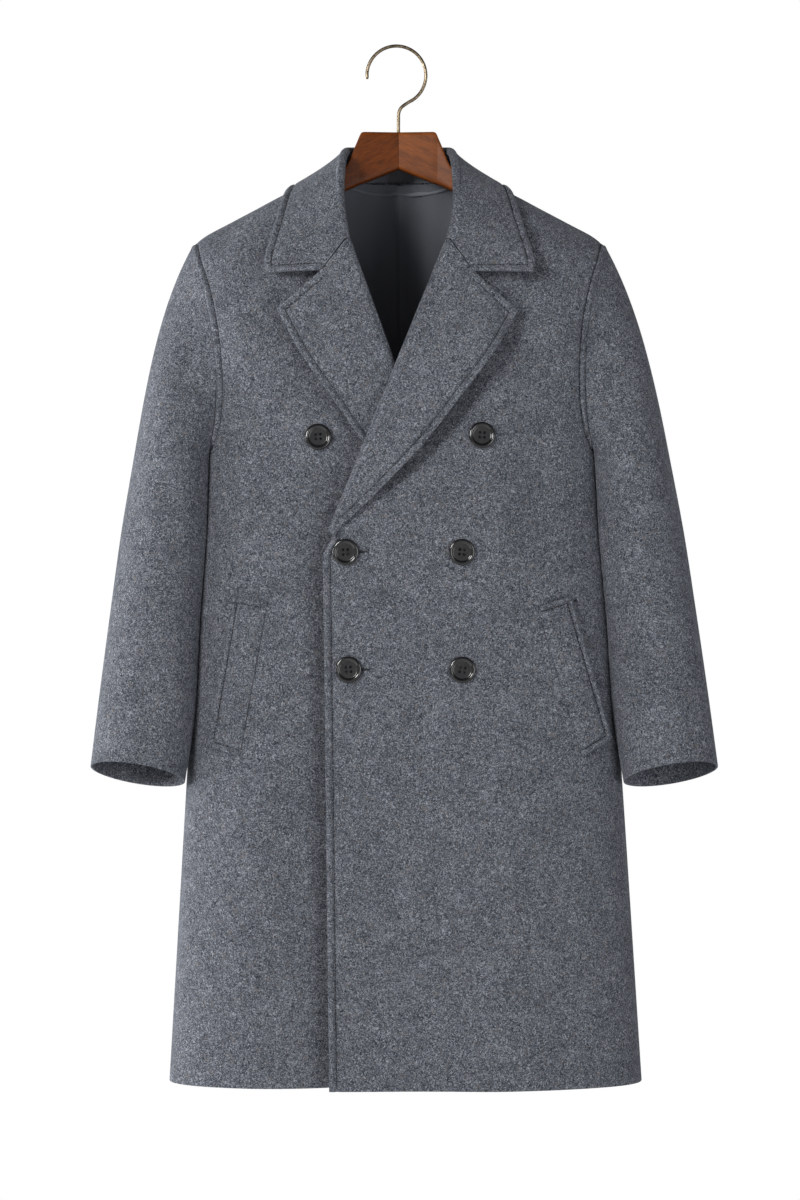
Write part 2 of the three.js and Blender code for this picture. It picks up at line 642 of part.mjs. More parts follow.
function collarSection(place, side) {
  const front = side > 0 ? FRONTS.left : FRONTS.right;
  const { foot, centre, radius, up, out, leaf, bow } = collarFold(place, side);
  const turned = (quarter) =>
    centre
      .clone()
      .addScaledVector(out, radius * Math.sin(quarter * QUARTER))
      .addScaledVector(up, radius * Math.cos(quarter * QUARTER));
  const points = [foot, foot.clone().lerp(turned(-1), 0.5), turned(-1), turned(-0.5), turned(0), turned(0.5)];
  const notchShare = NOTCH_STEP / LEAF_STEPS;
  const end = collarFold(0, side);
  const endFrom = end.centre.clone().addScaledVector(end.out, end.radius);
  const notch = onFront(front, foldSpot(front, NOTCH.down - GORGE_GAP, NOTCH.out), leafHeight(notchShare, LEAF_LOFT));
  const bend = notch.sub(endFrom.lerp(end.leaf, notchShare));
  for (let step = 0; step <= LEAF_STEPS; step += 1) {
    const share = step / LEAF_STEPS;
    const tent = share < notchShare ? share / notchShare : (1 - share) / (1 - notchShare);
    const p = turned(1)
      .lerp(leaf, share)
      .addScaledVector(out, bow * Math.sin(Math.PI * share ** 0.8))
      .addScaledVector(bend, tent * (1 - ease(place / FRONT_END.notch)));
    const { height, normal } = over(p);
    const least = leafHeight(share, LEAF_LOFT * (1 - ease(place / FRONT_END.loft)));
    points.push(p.addScaledVector(normal, Math.max(0, least - height)));
  }
  return points;
}

// Sections from a place on one side, round the back, to the same place on the other
function bothHalves(section, from) {
  const places = evenShares(COLLAR_STEPS).filter((place) => place >= from);
  const half = (side) => places.map((place) => section(place, side));
  return [...half(1), ...half(-1).slice(0, -1).reverse()];
}

function collar() {
  return wallAround(bothHalves(collarSection, 0), LEAF_WALL);
}

// The dark band inside the collar's stand
function neckBand() {
  const inset = LEAF_WALL / 2 + LINING_GAP + LINING_WALL / 2;
  const strip = (place, side) => {
    const { foot, centre, radius, out } = collarFold(place, side);
    const top = centre.clone().addScaledVector(out, -radius);
    const rise = top.clone().sub(foot).normalize();
    const inwards = rise.multiplyScalar(out.dot(rise)).sub(out).normalize();
    return [0.08, 0.5, 0.94].map((t) => foot.clone().lerp(top, t).addScaledVector(inwards, inset));
  };
  return wallAround(bothHalves(strip, BAND_PLACE), LINING_WALL);
}

// The lining hangs inside the back from the neckline, with a pleat down its middle
function liningBack() {
  const ARM_CLEAR_ANGLE = 0.26; // it stays behind the hanger's arms
  const ARMHOLE_INSET = 0.87;
  const ROW_FALL = 0.03; // added to the angle of each row
  const PLEAT = { turn: 0.016, height: 2.6 };
  const rows = backRows(BACK_COLS).slice(0, ARMHOLE_STEPS + 1).filter((_, r) => r < 3 || r % 2 === 0);
  const deep = COAT_WALL + LINING_EASE;
  const face = (depth) =>
    rows.map((row, r) => {
      const line = row.map(([turn, angle]) => [turn * ARMHOLE_INSET, Math.max(angle, ARM_CLEAR_ANGLE + r * ROW_FALL)]);
      const middle = line[BACK_COLS / 2];
      const pleat = [-1.5, -1, 0, 1, 1.5].map((k) => [k * PLEAT.turn, middle[1]]);
      const places = [...line.slice(0, BACK_COLS / 2), ...pleat, ...line.slice(BACK_COLS / 2 + 1)];
      return places.map(([turn, angle]) => off(turn, angle, -depth - (Math.abs(turn) <= PLEAT.turn ? PLEAT.height : 0)));
    });
  return wallBetween(face(deep), face(deep + LINING_WALL));
}

// Sleeves
// One ring of a sleeve, as a function of the turn from its outer side by the front
function sleeveRing(side, share) {
  const z = mix(SLEEVE_TOP_Z, CUFF_Z, share);
  const [outerX, innerX, middleY, halfDepth, tilt] = SLEEVE_FORM(share);
  const lean = BODY_FORM(z)[3];
  const slope = THREE.MathUtils.degToRad(tilt);
  return (turn) => {
    const across = ((outerX - innerX) / 2) * Math.cos(2 * Math.PI * turn);
    const back = -halfDepth * Math.sin(2 * Math.PI * turn);
    const x = lean + side * ((outerX + innerX) / 2 + across);
    const p = new THREE.Vector3(x, middleY + back * Math.cos(slope), z + across * SLEEVE_SLANT - back * Math.sin(slope));
    return clearOfBody(p, side, 1);
  };
}

function clearOfBody(p, side, weight) {
  const lean = BODY_FORM(p.z)[3];
  const short = halfWidthBeside(p) + SLEEVE_CLEARANCE - side * (p.x - lean);
  if (short > 0) p.x += side * short * weight;
  return p;
}

// The sleeve's outer face, from the armhole to the cuff, with the way out of the body at the armhole
function sleeveGrid(side) {
  const places = [...armhole(-1, side), ...armhole(1, side).slice(0, -1).reverse()];
  const around = places.length - 1;
  const top = sleeveRing(side, 0);
  const below = sleeveRing(side, CAP_SHARE);
  const seam = places.map((place) => formPoint(...place));
  const starts = seam.map((p, k) => {
    const normal = formNormal(...places[k]);
    const along = seam[(k + 1) % around].clone().sub(seam[(k + around - 1) % around]);
    const away = normal.clone().cross(along).multiplyScalar(side).normalize();
    const under = ease((UNDERARM.half - Math.abs(k / around - 0.5)) / UNDERARM.fade);
    const point = p
      .clone()
      .addScaledVector(away, SEAM_GAP * (1 - under))
      .addScaledVector(normal, UNDERARM.lift * under);
    const way = away.clone().multiplyScalar(1 - under).addScaledVector(normal, CAP_SPRING.normal);
    const fall = new THREE.Vector3(0, 0, -CAP_SPRING.fall - CAP_SPRING.underFall * under);
    return { point, away, under, way: way.add(fall).normalize() };
  });
  const rows = evenShares(CAP_STEPS).map((t) =>
    starts.map(({ point, way, under }, k) => {
      const end = top(k / around);
      const endWay = below(k / around).sub(end).normalize();
      const reach = point.distanceTo(end);
      const [t2, t3] = [t * t, t * t * t];
      const p = point
        .clone()
        .multiplyScalar(2 * t3 - 3 * t2 + 1)
        .addScaledVector(end, 3 * t2 - 2 * t3)
        .addScaledVector(way, (t3 - 2 * t2 + t) * reach)
        .addScaledVector(endWay, (t3 - t2) * reach);
      return t > 0 ? clearOfBody(p, side, under) : p;
    }),
  );
  for (let r = 1; r <= TUBE_STEPS; r += 1) {
    const ring = sleeveRing(side, r / TUBE_STEPS);
    rows.push(starts.map((_, k) => ring(k / around)));
  }
  return { rows, starts, around };
}

// One of a sleeve's two pieces, between two seams given as shares of a turn
function sleevePiece(side, fromTurn, toTurn) {
  const { rows, starts, around } = sleeveGrid(side);
  const from = Math.round(fromTurn * around);
  const count = (Math.round(toTurn * around) - from + around) % around;
  const pick = (line, c) => line[(from + c + around) % around];
  const wide = rows.map((line) => Array.from({ length: count + 3 }, (_, c) => pick(line, c - 1)));
  const normals = gridNormals(wide);
  const inwards = rows.map((line, r) =>
    Array.from({ length: count + 1 }, (_, c) => {
      const n = normals[r][c + 1].clone().multiplyScalar(side);
      const { away } = pick(starts, c);
      if (r === 0) n.addScaledVector(away, -Math.min(0, n.dot(away))).normalize();
      return n;
    }),
  );
  const parted = (line) => {
    const first = line[1].clone().lerp(line[2], SEAM_GAP / 2 / line[1].distanceTo(line[2]));
    const last = line[count + 1].clone().lerp(line[count], SEAM_GAP / 2 / line[count + 1].distanceTo(line[count]));
    return [first, ...line.slice(2, count + 1), last];
  };
  const outer = wide.map(parted);
  const inner = outer.map((line, r) => line.map((p, c) => p.clone().addScaledVector(inwards[r][c], SLEEVE_WALL)));
  return wallBetween(outer, inner);
}

// Pockets and buttons
function welt(front, corners) {
  const [ROWS, COLS] = [7, 4];
  const face = (height) =>
    evenShares(ROWS).map((v) =>
      evenShares(COLS).map((u) => {
        const at = (i) => mix(mix(corners[0][i], corners[1][i], u), mix(corners[3][i], corners[2][i], u), v);
        return onFront(front, [at(0), at(1)], height);
      }),
    );
  return wallBetween(face(LAYER_GAP + WELT_WALL), face(LAYER_GAP));
}

function buttonShape() {
  const { radius, height, rimWidth, dish, hole, holeSpread, sides } = BUTTON;
  const profile = [
    [0, 0],
    [radius - 3, 0],
    [radius, 1.6],
    [radius, height - 1.5],
    [radius - 1.2, height - 0.2],
    [radius - rimWidth / 2, height],
    [radius - rimWidth, height - dish],
    [0, height - dish],
  ];
  const disc = new THREE.LatheGeometry(profile.map(([x, y]) => new THREE.Vector2(x, y)), sides);
  let solid = toSolid(disc);
  for (const [sx, sz] of [[1, 1], [1, -1], [-1, 1], [-1, -1]]) {
    const drill = new THREE.CylinderGeometry(hole, hole, 3 * height, 8);
    solid = solid.subtract(toSolid(drill.translate((sx * holeSpread) / 2, 0, (sz * holeSpread) / 2)));
  }
  return fromSolid(solid);
}

// Way out of a front's face, which slopes where it laps over the other
function frontNormal(front, [x, z]) {
  const STEP = 8;
  const at = (dx, dz) => onFront(front, [x + dx, z + dz], 0);
  return at(STEP, 0).sub(at(-STEP, 0)).cross(at(0, STEP).sub(at(0, -STEP))).normalize();
}

function placeButton(mesh, x, z, front) {
  const out = frontNormal(front, [x, z]);
  mesh.position.copy(onFront(front, [x, z], 0)).addScaledVector(out, BUTTON_GAP);
  mesh.quaternion.setFromUnitVectors(new THREE.Vector3(0, 1, 0), out);
}

// Hanger and hook
function underShoulder(x, y) {
  const HANGER_LEVEL = -200;
  const [width, front, back, lean] = BODY_FORM(HANGER_LEVEL);
  const turn = turnOf((x - lean) / width);
  const depth = (y < 0 ? front : back) * sectionAt(turn)[1];
  const angle = (y < 0 ? -1 : 1) * Math.max(SEAM_ANGLE, Math.asin(Math.min(1, Math.abs(y) / depth)));
  const gap = mix(HANGER_GAP.crest, HANGER_GAP.beside + HANGER_GAP.crest, ease(Math.abs(y) / HANGER_GAP.reach));
  return shoulderZ(x - lean) - dropOf(angle) - (COAT_WALL + gap) / formNormal(turn, angle).z;
}

// One arm, from the mitre at the middle to the tip
function hangerArm(side) {
  const SIDES = 16;
  const SQUARENESS = 0.72;
  const PLACES = [0, 20, 43, 52, 61, 68, 76, 86, 100, 120, 145, 170, 190, 205, 215, 223];
  const power = (v) => Math.sign(v) * Math.abs(v) ** SQUARENESS;
  const rings = PLACES.map((x) => {
    const [top, bottom, middleY, half] = HANGER_ARM(x);
    return Array.from({ length: SIDES }, (_, k) => {
      const a = (2 * Math.PI * k) / SIDES;
      const px = HOOK.stemX + side * (x + SEAM_GAP / 2);
      const y = middleY + half * power(Math.cos(a));
      const z = (top + bottom) / 2 + ((top - bottom) / 2) * power(Math.sin(a));
      return new THREE.Vector3(px, y, x < NECK_POINT_X ? z : Math.min(z, underShoulder(px, y)));
    });
  });
  const points = [...rings.flat(), centreOf(rings[0]), centreOf(rings[rings.length - 1])];
  const at = (r, k) => r * SIDES + (k % SIDES);
  const faces = [];
  for (let k = 0; k < SIDES; k += 1) {
    for (let r = 0; r < rings.length - 1; r += 1) {
      faces.push(at(r, k), at(r + 1, k), at(r + 1, k + 1), at(r, k), at(r + 1, k + 1), at(r, k + 1));
    }
    faces.push(points.length - 2, at(0, k), at(0, k + 1));
    faces.push(points.length - 1, at(rings.length - 1, k + 1), at(rings.length - 1, k));
  }
  const BORE = { length: 60, sides: 12, radius: HOOK.wire + SEAM_GAP };
  const bore = new THREE.CylinderGeometry(BORE.radius, BORE.radius, BORE.length, BORE.sides);
  bore.rotateX(QUARTER).translate(HOOK.stemX, HANGER_ARM(0)[2], HOOK.foot + BORE.length / 2 - SEAM_GAP);
  return fromSolid(toSolid(closed(points, faces)).subtract(toSolid(bore)));
}

function centreOf(ring) {
  return ring.reduce((sum, p) => sum.add(p), new THREE.Vector3()).divideScalar(ring.length);
}

function hook() {
  const { x, wire, radius, tipTurn, leaveTurn, stemX, foot } = HOOK;
  const y = HANGER_ARM(0)[2];
  const centreZ = wire - radius;
  const ARC_STEPS = 22;
  const arc = evenShares(ARC_STEPS).map((t) => {
    const a = THREE.MathUtils.degToRad(mix(tipTurn, leaveTurn, t));
    return new THREE.Vector3(x + radius * Math.cos(a), y, centreZ + radius * Math.sin(a));
  });
  const stem = [...STEM, [0, foot]].map(([beside, z]) => new THREE.Vector3(stemX + beside, y, z));
  const path = new THREE.CatmullRomCurve3([...arc, ...stem], false, "centripetal");
  const section = new THREE.Shape(
    Array.from({ length: HOOK_SIDES }, (_, k) => {
      const a = (2 * Math.PI * k) / HOOK_SIDES;
      return new THREE.Vector2(wire * Math.cos(a), wire * Math.sin(a));
    }),
  );
  return new THREE.ExtrudeGeometry(section, { steps: HOOK_STEPS, extrudePath: path, bevelEnabled: false });
}

// Assembly
const WOOL = { color: 0x43474f, roughness: 0.95, metalness: 0 };
const LINING = { color: 0x1d1e22, roughness: 0.6, metalness: 0 };
const HORN = { color: 0x121214, roughness: 0.25, metalness: 0 };
const WOOD = { color: 0x6b3f26, roughness: 0.4, metalness: 0 };
const BRASS = { color: 0x6d5c42, roughness: 0.35, metalness: 1 };

const coat = new THREE.Group();
coat.position.set(-HOOK.x, -HANGER_ARM(0)[2], 0); // the crown of the hook comes to the origin

function add(name, geometry, finish) {
  const mesh = new THREE.Mesh(geometry, new THREE.MeshStandardMaterial(finish));
  mesh.name = name;
  coat.add(mesh);
  return mesh;
}

add("back", panelWall(backRows(BACK_COLS), COAT_WALL), WOOL);
for (const [name, front] of Object.entries(FRONTS)) {
  const lift = (x, z) => frontLift(front, x, z);
  add(`front_${name}`, panelWall(frontRows(front, FRONT_COLS), COAT_WALL, lift), WOOL);
  add(`lapel_${name}`, lapel(front), WOOL);
  add(`sleeve_${name}_top`, sleevePiece(front.side, SLEEVE_SEAMS.back, SLEEVE_SEAMS.front), WOOL);
  add(`sleeve_${name}_under`, sleevePiece(front.side, SLEEVE_SEAMS.front, SLEEVE_SEAMS.back), WOOL);
}
add("collar", collar(), WOOL);
for (const [name, front, ...corners] of WELTS) add(name, welt(front, corners), WOOL);
for (const [name, x, z, front] of BUTTONS) placeButton(add(name, buttonShape(), HORN), x, z, front);
add("lining_back", liningBack(), LINING);
add("neck_band", neckBand(), LINING);
add("hanger_left", hangerArm(1), WOOD);
add("hanger_right", hangerArm(-1), WOOD);
add("hook", hook(), BRASS);

export default coat;
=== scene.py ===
# The looks of a double-breasted wool overcoat on its wooden hanger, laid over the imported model.
# The tables are in millimetres in the coat's own frame, and become metres when a mesh is made.
import math

import bmesh
import bpy
import numpy as np
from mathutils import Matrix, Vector
from mathutils.kdtree import KDTree


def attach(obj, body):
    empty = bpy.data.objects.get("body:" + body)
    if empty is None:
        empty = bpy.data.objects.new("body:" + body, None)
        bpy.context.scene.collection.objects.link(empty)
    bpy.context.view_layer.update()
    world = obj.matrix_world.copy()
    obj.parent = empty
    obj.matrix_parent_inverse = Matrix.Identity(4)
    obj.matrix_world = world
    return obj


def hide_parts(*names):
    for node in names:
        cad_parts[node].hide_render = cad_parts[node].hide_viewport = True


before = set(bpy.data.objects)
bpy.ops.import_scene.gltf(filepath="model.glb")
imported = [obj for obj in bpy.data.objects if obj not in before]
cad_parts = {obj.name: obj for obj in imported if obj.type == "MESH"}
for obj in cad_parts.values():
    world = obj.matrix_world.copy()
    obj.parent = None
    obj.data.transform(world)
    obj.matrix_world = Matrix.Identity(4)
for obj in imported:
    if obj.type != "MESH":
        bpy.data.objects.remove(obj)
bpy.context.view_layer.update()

# Camera: level, four metres in front of the coat
PHOTO_DISTANCE = 4.0
PHOTO_HEIGHT = 1.368
SENSOR = 36.0
CAMERA_PLACE = (0.0041, -4.015, -0.632)
camera_data = bpy.data.cameras.new("camera")
camera_data.sensor_width = SENSOR
camera_data.lens = SENSOR * PHOTO_DISTANCE / PHOTO_HEIGHT
camera = bpy.data.objects.new("camera", camera_data)
camera.location = CAMERA_PLACE
camera.rotation_euler = (math.pi / 2, 0, 0)
bpy.context.scene.collection.objects.link(camera)
bpy.context.scene.camera = camera

# Cloth and clearances
TO_SHARED = np.array([4.1, -15.0, 0.0])
COAT_WALL = 3.0
LEAF_WALL = 3.6
SLEEVE_WALL = 2.6
LINING_WALL = 1.0
SEAM_GAP = 0.3
LAYER_GAP = 0.9
LINING_GAP = 1.3
LINING_EASE = 2.2
SEAM_TURN = 0.0006
SEAM_ANGLE = 0.0018
STITCH_INSET = 7.5
FRONT_INSET = 8.3
WELT_INSET = 6.3
GROOVE_DEPTH = 2.3
GROOVE_HALF = 1.35
PUFF_PLACE = 0.45
PUFF_HALF = 2.6
ARMHOLE_PUFF = 1.3


# Numbers and curves
def mix(a, b, t):
    return a + (b - a) * t


def ease(t):
    k = np.clip(t, 0, 1)
    return k * k * (3 - 2 * k)


def sunk(z, start, reach):
    """0 above a start, 1 from a reach below it, and smooth between."""
    return ease((start - z) / reach)


def bend_shares(t):
    """Shares of a bend's start, its end, its way out and its way in, at t from 0 to 1."""
    t2, t3 = t * t, t * t * t
    return 2 * t3 - 3 * t2 + 1, 3 * t2 - 2 * t3, t3 - 2 * t2 + t, t3 - t2


def curve_of(rows):
    """Rows of a table as a smooth curve: the first column is the place, the others are read there."""
    table = np.array(rows, float)
    places, values = table[:, 0], table[:, 1:]
    order = np.arange(len(places))
    before = np.maximum(order - 1, 0)
    after = np.minimum(order + 1, len(places) - 1)
    slopes = (values[after] - values[before]) / (places[after] - places[before])[:, None]

    def read(place):
        p = np.clip(np.asarray(place, float), places[0], places[-1])
        i = np.clip(np.searchsorted(places, p, side="left") - 1, 0, len(places) - 2)
        span = places[i + 1] - places[i]
        start, end, leave, arrive = bend_shares(((p - places[i]) / span)[..., None])
        level = values[i] * start + values[i + 1] * end
        return level + span[..., None] * (slopes[i] * leave + slopes[i + 1] * arrive)

    return read


def unit(vectors):
    return vectors / np.maximum(1e-9, np.linalg.norm(vectors, axis=-1, keepdims=True))


def dot(a, b):
    return np.sum(a * b, axis=-1, keepdims=True)


def spaced_places(points, count, crowding=1.0):
    """Places along a line of points, evenly spaced. Crowding over 1 draws them to its start."""
    steps = np.linalg.norm(np.diff(points, axis=0), axis=1)
    along = np.concatenate([[0], np.cumsum(steps)])
    wanted = along[-1] * np.linspace(0, 1, count + 1) ** crowding
    return np.interp(wanted, along, np.arange(len(points)))


# Body form, as in the part
QUARTER = math.pi / 2
SECTION_POWER = 2.8
SECTION_RATIO = 2.4
SECTION_SAMPLES = 4000
SECTION_STEPS = 1600
SHOULDER_ROUND = 150.0
HEM_Z = -1177.0
UNDERARM_Z = -467.0
CHEST_Z = -300.0
FORM_ROUNDS = 7
SHOULDER = {"peak": -93.5, "slope": 0.549, "softness": 50.0, "tip_x": 215.0, "tip_drop": 0.012}
BODY_FORM = curve_of([
    # z, half width, front depth, back depth, lean to the wearer's left
    [-1177, 268.5, 101, 101, 6.3],
    [-860, 249, 98, 98, 5.0],
    [-620, 234, 97, 96, 3.4],
    [-467, 224.5, 96, 95, 1.9],
    [-390, 229, 95, 95, 0.9],
    [-300, 243, 93, 95, -0.6],
    [-232, 252, 92, 94, -1.2],
    [-100, 252, 88, 92, -2.0],
])
ARMHOLE = {
    # face: x from the middle, z
    -1: [
        [237, -232], [231, -250], [225.5, -266], [219, -289], [213.5, -315], [209.5, -345],
        [207.5, -380], [208, -412], [211.5, -438], [217.5, -456], [222.5, -464.5], [224.5, -467],
    ],
    1: [
        [237, -232], [234, -250], [231, -266], [227, -290], [223.5, -320], [221, -350],
        [219, -385], [218, -415], [219, -441], [221.5, -457.5], [223.8, -465], [224.5, -467],
    ],
}
ARMHOLE_UNITS = 14
ARMHOLE_SAMPLES = 60
SHOULDER_CROWDING = 1.4
GORGE_UNIT = 6
GORGE_CROWDING = 1.6
NECK_END_Z = -198.0
NECK_UNITS = 7
NECK_POINT = 0.52
NECK_POINT_X = 80.0
NECK_HALVINGS = 30
NECKLINE = curve_of([
    # place along the half neckline, x from the middle, angle from the shoulder line
    [0, 57, -1.159],
    [0.18, 66, -0.9],
    [0.36, 74, -0.6],
    [0.46, 79, -0.27],
    [NECK_POINT, NECK_POINT_X, 0],
    [0.6, 77, 0.22],
    [0.7, 66, 0.42],
    [0.82, 46, 0.6],
    [0.93, 20, 0.72],
    [1, 0, 0.742],
])
LEFT = {
    "side": 1,
    "gorge": np.array([50.5, -229.5]),
    "break": np.array([-82.5, -563.0]),
    "edge_top": (-85.4, -582.0),
    "edge_hem": (-78.5, -1178.5),
}
RIGHT = {
    "side": -1,
    "gorge": np.array([-55.0, -229.2]),
    "break": np.array([65.7, -565.0]),
    "edge_top": (68.0, -584.0),
    "edge_hem": (62.0, HEM_Z),
}
OVERLAP_LIFT = curve_of([
    # z, height of the wearer's left front over the right one
    [HEM_Z, 4.2],
    [-660, 4.4],
    [-600, 8.2],
    [-566, 11],
    [-450, 12.2],
    [-375, 13],
    [-310, 5.5],
    [-240, 0],
    [-100, 0],
])
OVERLAP_FULL_X = 92.0
OVERLAP_END_X = 158.0
UNDER_FALL = 24.0
UNDER_FALL_START = -185.0
UNDER_FALL_REACH = 112.0
FRONT_SWELLS = [
    # height, x of the middle, half width
    [7.5, 138, 66],
    [-2.5, 20, 60],
]
# Heights at which a drape starts, and how far below them it is full
UNDER_FALL_FADE = (-420, 230)
SWELL_FADE = (-520, 380)
BACK_FADE = (-620, 420)
CHEST_FADE = (-175, 60)
HIDDEN_FADE = (-352, 40)
HEM_FADE = (-900, 277)


def quarter_section():
    """One quarter of the body's section, from the middle of the front to the side, evenly spaced."""
    t = np.linspace(0, QUARTER, SECTION_SAMPLES)
    power = 2 / SECTION_POWER
    raw = np.stack([SECTION_RATIO * np.sin(t) ** power, np.maximum(0, np.cos(t)) ** power], 1)
    at = spaced_places(raw, SECTION_STEPS)
    across = np.interp(at, np.arange(len(raw)), raw[:, 0]) / SECTION_RATIO
    return across, np.interp(at, np.arange(len(raw)), raw[:, 1])


QUARTER_ACROSS, QUARTER_FORWARD = quarter_section()
QUARTER_PLACES = np.linspace(0, 1, len(QUARTER_ACROSS))


def section_at(turn):
    """Shares of the half width and the depth at a turn: 0 at the middle of the front, 1 at the side."""
    t = np.abs(turn)
    folded = np.where(t > 1, 2 - t, t)
    across = np.interp(folded, QUARTER_PLACES, QUARTER_ACROSS)
    forward = np.interp(folded, QUARTER_PLACES, QUARTER_FORWARD)
    return np.sign(turn) * across, np.where(t > 1, -1.0, 1.0) * forward


def turn_of(share):
    """The turn at a share of the half width."""
    return np.sign(share) * np.interp(np.minimum(1, np.abs(share)), QUARTER_ACROSS, QUARTER_PLACES)


def shoulder_z(x):
    """Height of the shoulder line at x from the middle."""
    past = np.maximum(0, np.abs(x) - SHOULDER["tip_x"])
    roof = SHOULDER["peak"] - SHOULDER["slope"] * np.hypot(x, SHOULDER["softness"])
    return roof - SHOULDER["tip_drop"] * past * past


def drop_of(angle):
    """How far a place lies below the shoulder line, by its angle from there."""
    a = np.abs(angle)
    return SHOULDER_ROUND * np.where(a < QUARTER, 1 - np.cos(a), 1 + a - QUARTER)


def angle_of(drop):
    """The angle of a place that lies that far below the shoulder line."""
    d = np.maximum(0, drop) / SHOULDER_ROUND
    return np.where(d < 1, np.arccos(1 - np.minimum(1, d)), QUARTER + d - 1)


def form_columns(z):
    """Half width, front depth, back depth and lean of the body form at a height."""
    return np.moveaxis(BODY_FORM(z), -1, 0)


def form_point(turn, angle):
    """A point of the body form. Angles run down from the shoulder line, below 0 on the front."""
    turn, angle = np.broadcast_arrays(np.asarray(turn, float), np.asarray(angle, float))
    across, forward = section_at(turn)
    z = np.full(turn.shape, CHEST_Z)
    for _ in range(FORM_ROUNDS):
        z = shoulder_z(form_columns(z)[0] * across) - drop_of(angle)
    width, front, back, lean = form_columns(z)
    rise = np.sign(angle) * np.sin(np.minimum(np.abs(angle), QUARTER))
    return np.stack([lean + width * across, np.where(angle < 0, front, back) * forward * rise, z], -1)


def form_normal(turn, angle):
    """The way straight out of the body form."""
    step = 0.004
    turn, angle = np.asarray(turn, float), np.asarray(angle, float)
    across = form_point(turn + step, angle) - form_point(turn - step, angle)
    down = form_point(turn, angle + step) - form_point(turn, angle - step)
    return unit(np.cross(across, down))


def off(turn, angle, height):
    """A point at a height over the body form."""
    return form_point(turn, angle) + form_normal(turn, angle) * np.asarray(height, float)[..., None]


def seen_at(face, x, z):
    """Turn and angle of the place seen at x and z on the front (-1) or the back (1)."""
    width, _, _, lean = form_columns(z)
    return turn_of((x - lean) / width), face * angle_of(shoulder_z(x - lean) - z)


def over(p):
    """Height of points over the body form, with the form's normals there."""
    width, front, back, lean = form_columns(p[..., 2])
    turn = turn_of((p[..., 0] - lean) / width)
    ahead = p[..., 1] < 0
    depth = np.maximum(1, np.where(ahead, front, back) * section_at(turn)[1])
    centre = shoulder_z(p[..., 0] - lean) - SHOULDER_ROUND
    above = p[..., 2] - centre
    round_angle = np.arctan2(np.abs(p[..., 1]) / depth, above / SHOULDER_ROUND)
    angle = np.where(above > 0, round_angle, angle_of(SHOULDER_ROUND - above))
    angle = np.where(ahead, -1, 1) * np.maximum(SEAM_ANGLE, angle)
    normal = form_normal(turn, angle)
    return dot(p - form_point(turn, angle), normal), normal


def half_width_beside(p):
    """Half width of the body form at the depth and height of points."""
    width, front, back, _ = form_columns(p[..., 2])
    share = np.minimum(1, np.abs(p[..., 1]) / np.where(p[..., 1] < 0, front, back))
    return width * (1 - share**SECTION_POWER) ** (1 / SECTION_POWER)


# Meshes
def in_metres(points):
    """Points of the coat's own frame, in metres in the shared frame."""
    return (points + TO_SHARED) / 1000


def add_object(name, points, faces, material=None, turn_out=True):
    """A smooth mesh object at the origin. Its faces are turned to look outwards."""
    mesh = bpy.data.meshes.new(name)
    mesh.from_pydata(points.tolist(), [], faces)
    if material:
        mesh.materials.append(material)
    if turn_out:
        body = bmesh.new()
        body.from_mesh(mesh)
        bmesh.ops.recalc_face_normals(body, faces=body.faces)
        body.to_mesh(mesh)
        body.free()
    mesh.shade_smooth()
    piece = bpy.data.objects.new(name, mesh)
    bpy.context.scene.collection.objects.link(piece)
    return piece


def grid_faces(rows, cols, first=0, around=False):
    """Quads of a grid of points that starts at an index. Around closes its columns to a ring."""
    r, c = np.meshgrid(np.arange(rows - 1), np.arange(cols if around else cols - 1), indexing="ij")
    beside = (c + 1) % cols
    quads = np.stack([r * cols + c, (r + 1) * cols + c, (r + 1) * cols + beside, r * cols + beside], -1)
    return quads.reshape(-1, 4) + first


def border_of(rows, cols):
    """Indices of a grid's border, all round."""
    top = np.arange(cols)
    right = np.arange(1, rows) * cols + cols - 1
    bottom = (rows - 1) * cols + np.arange(cols - 2, -1, -1)
    left = np.arange(rows - 2, 0, -1) * cols
    return np.concatenate([top, right, bottom, left])


def wall_piece(name, outer, inner, material, rim=1.2):
    """A closed wall of cloth between two grids of points, with its cut edges rounded."""
    rows, cols = outer.shape[:2]
    count = rows * cols
    border = border_of(rows, cols)
    beyond = np.roll(border, -1)
    strip = np.stack([border, beyond, beyond + count, border + count], -1)
    faces = np.concatenate([grid_faces(rows, cols), grid_faces(rows, cols, count)[:, ::-1], strip])
    points = np.concatenate([outer.reshape(-1, 3), inner.reshape(-1, 3)])
    piece = add_object(name, in_metres(points), faces.tolist(), material)
    body = bmesh.new()
    body.from_mesh(piece.data)
    body.verts.ensure_lookup_table()
    edges = []
    for a, b in zip(border, beyond):
        for shift in (0, count):
            edges.append(body.edges.get((body.verts[int(a + shift)], body.verts[int(b + shift)])))
    bmesh.ops.bevel(
        body,
        geom=[edge for edge in edges if edge],
        offset=rim / 1000,
        segments=3,
        profile=0.5,
        affect="EDGES",
        clamp_overlap=True,
    )
    body.to_mesh(piece.data)
    body.free()
    piece.data.shade_smooth()
    return piece


def grid_normals(grid):
    """The ways straight out of a grid of points."""
    down = np.gradient(grid, axis=0)
    across = np.gradient(grid, axis=1)
    return unit(np.cross(down, across))


def nearest(points, line):
    """Distance of every point to a line of points, which is made finer and read in blocks."""
    block = 64
    fine = np.linspace(0, len(line) - 1, 4 * len(line))
    dense = np.stack([np.interp(fine, np.arange(len(line)), line[:, k]) for k in range(3)], 1)
    flat = points.reshape(-1, 3)
    best = np.full(len(flat), np.inf)
    for start in range(0, len(dense), block):
        gap = flat[:, None, :] - dense[None, start : start + block, :]
        best = np.minimum(best, np.sqrt((gap**2).sum(-1)).min(1))
    return best.reshape(points.shape[:-1])


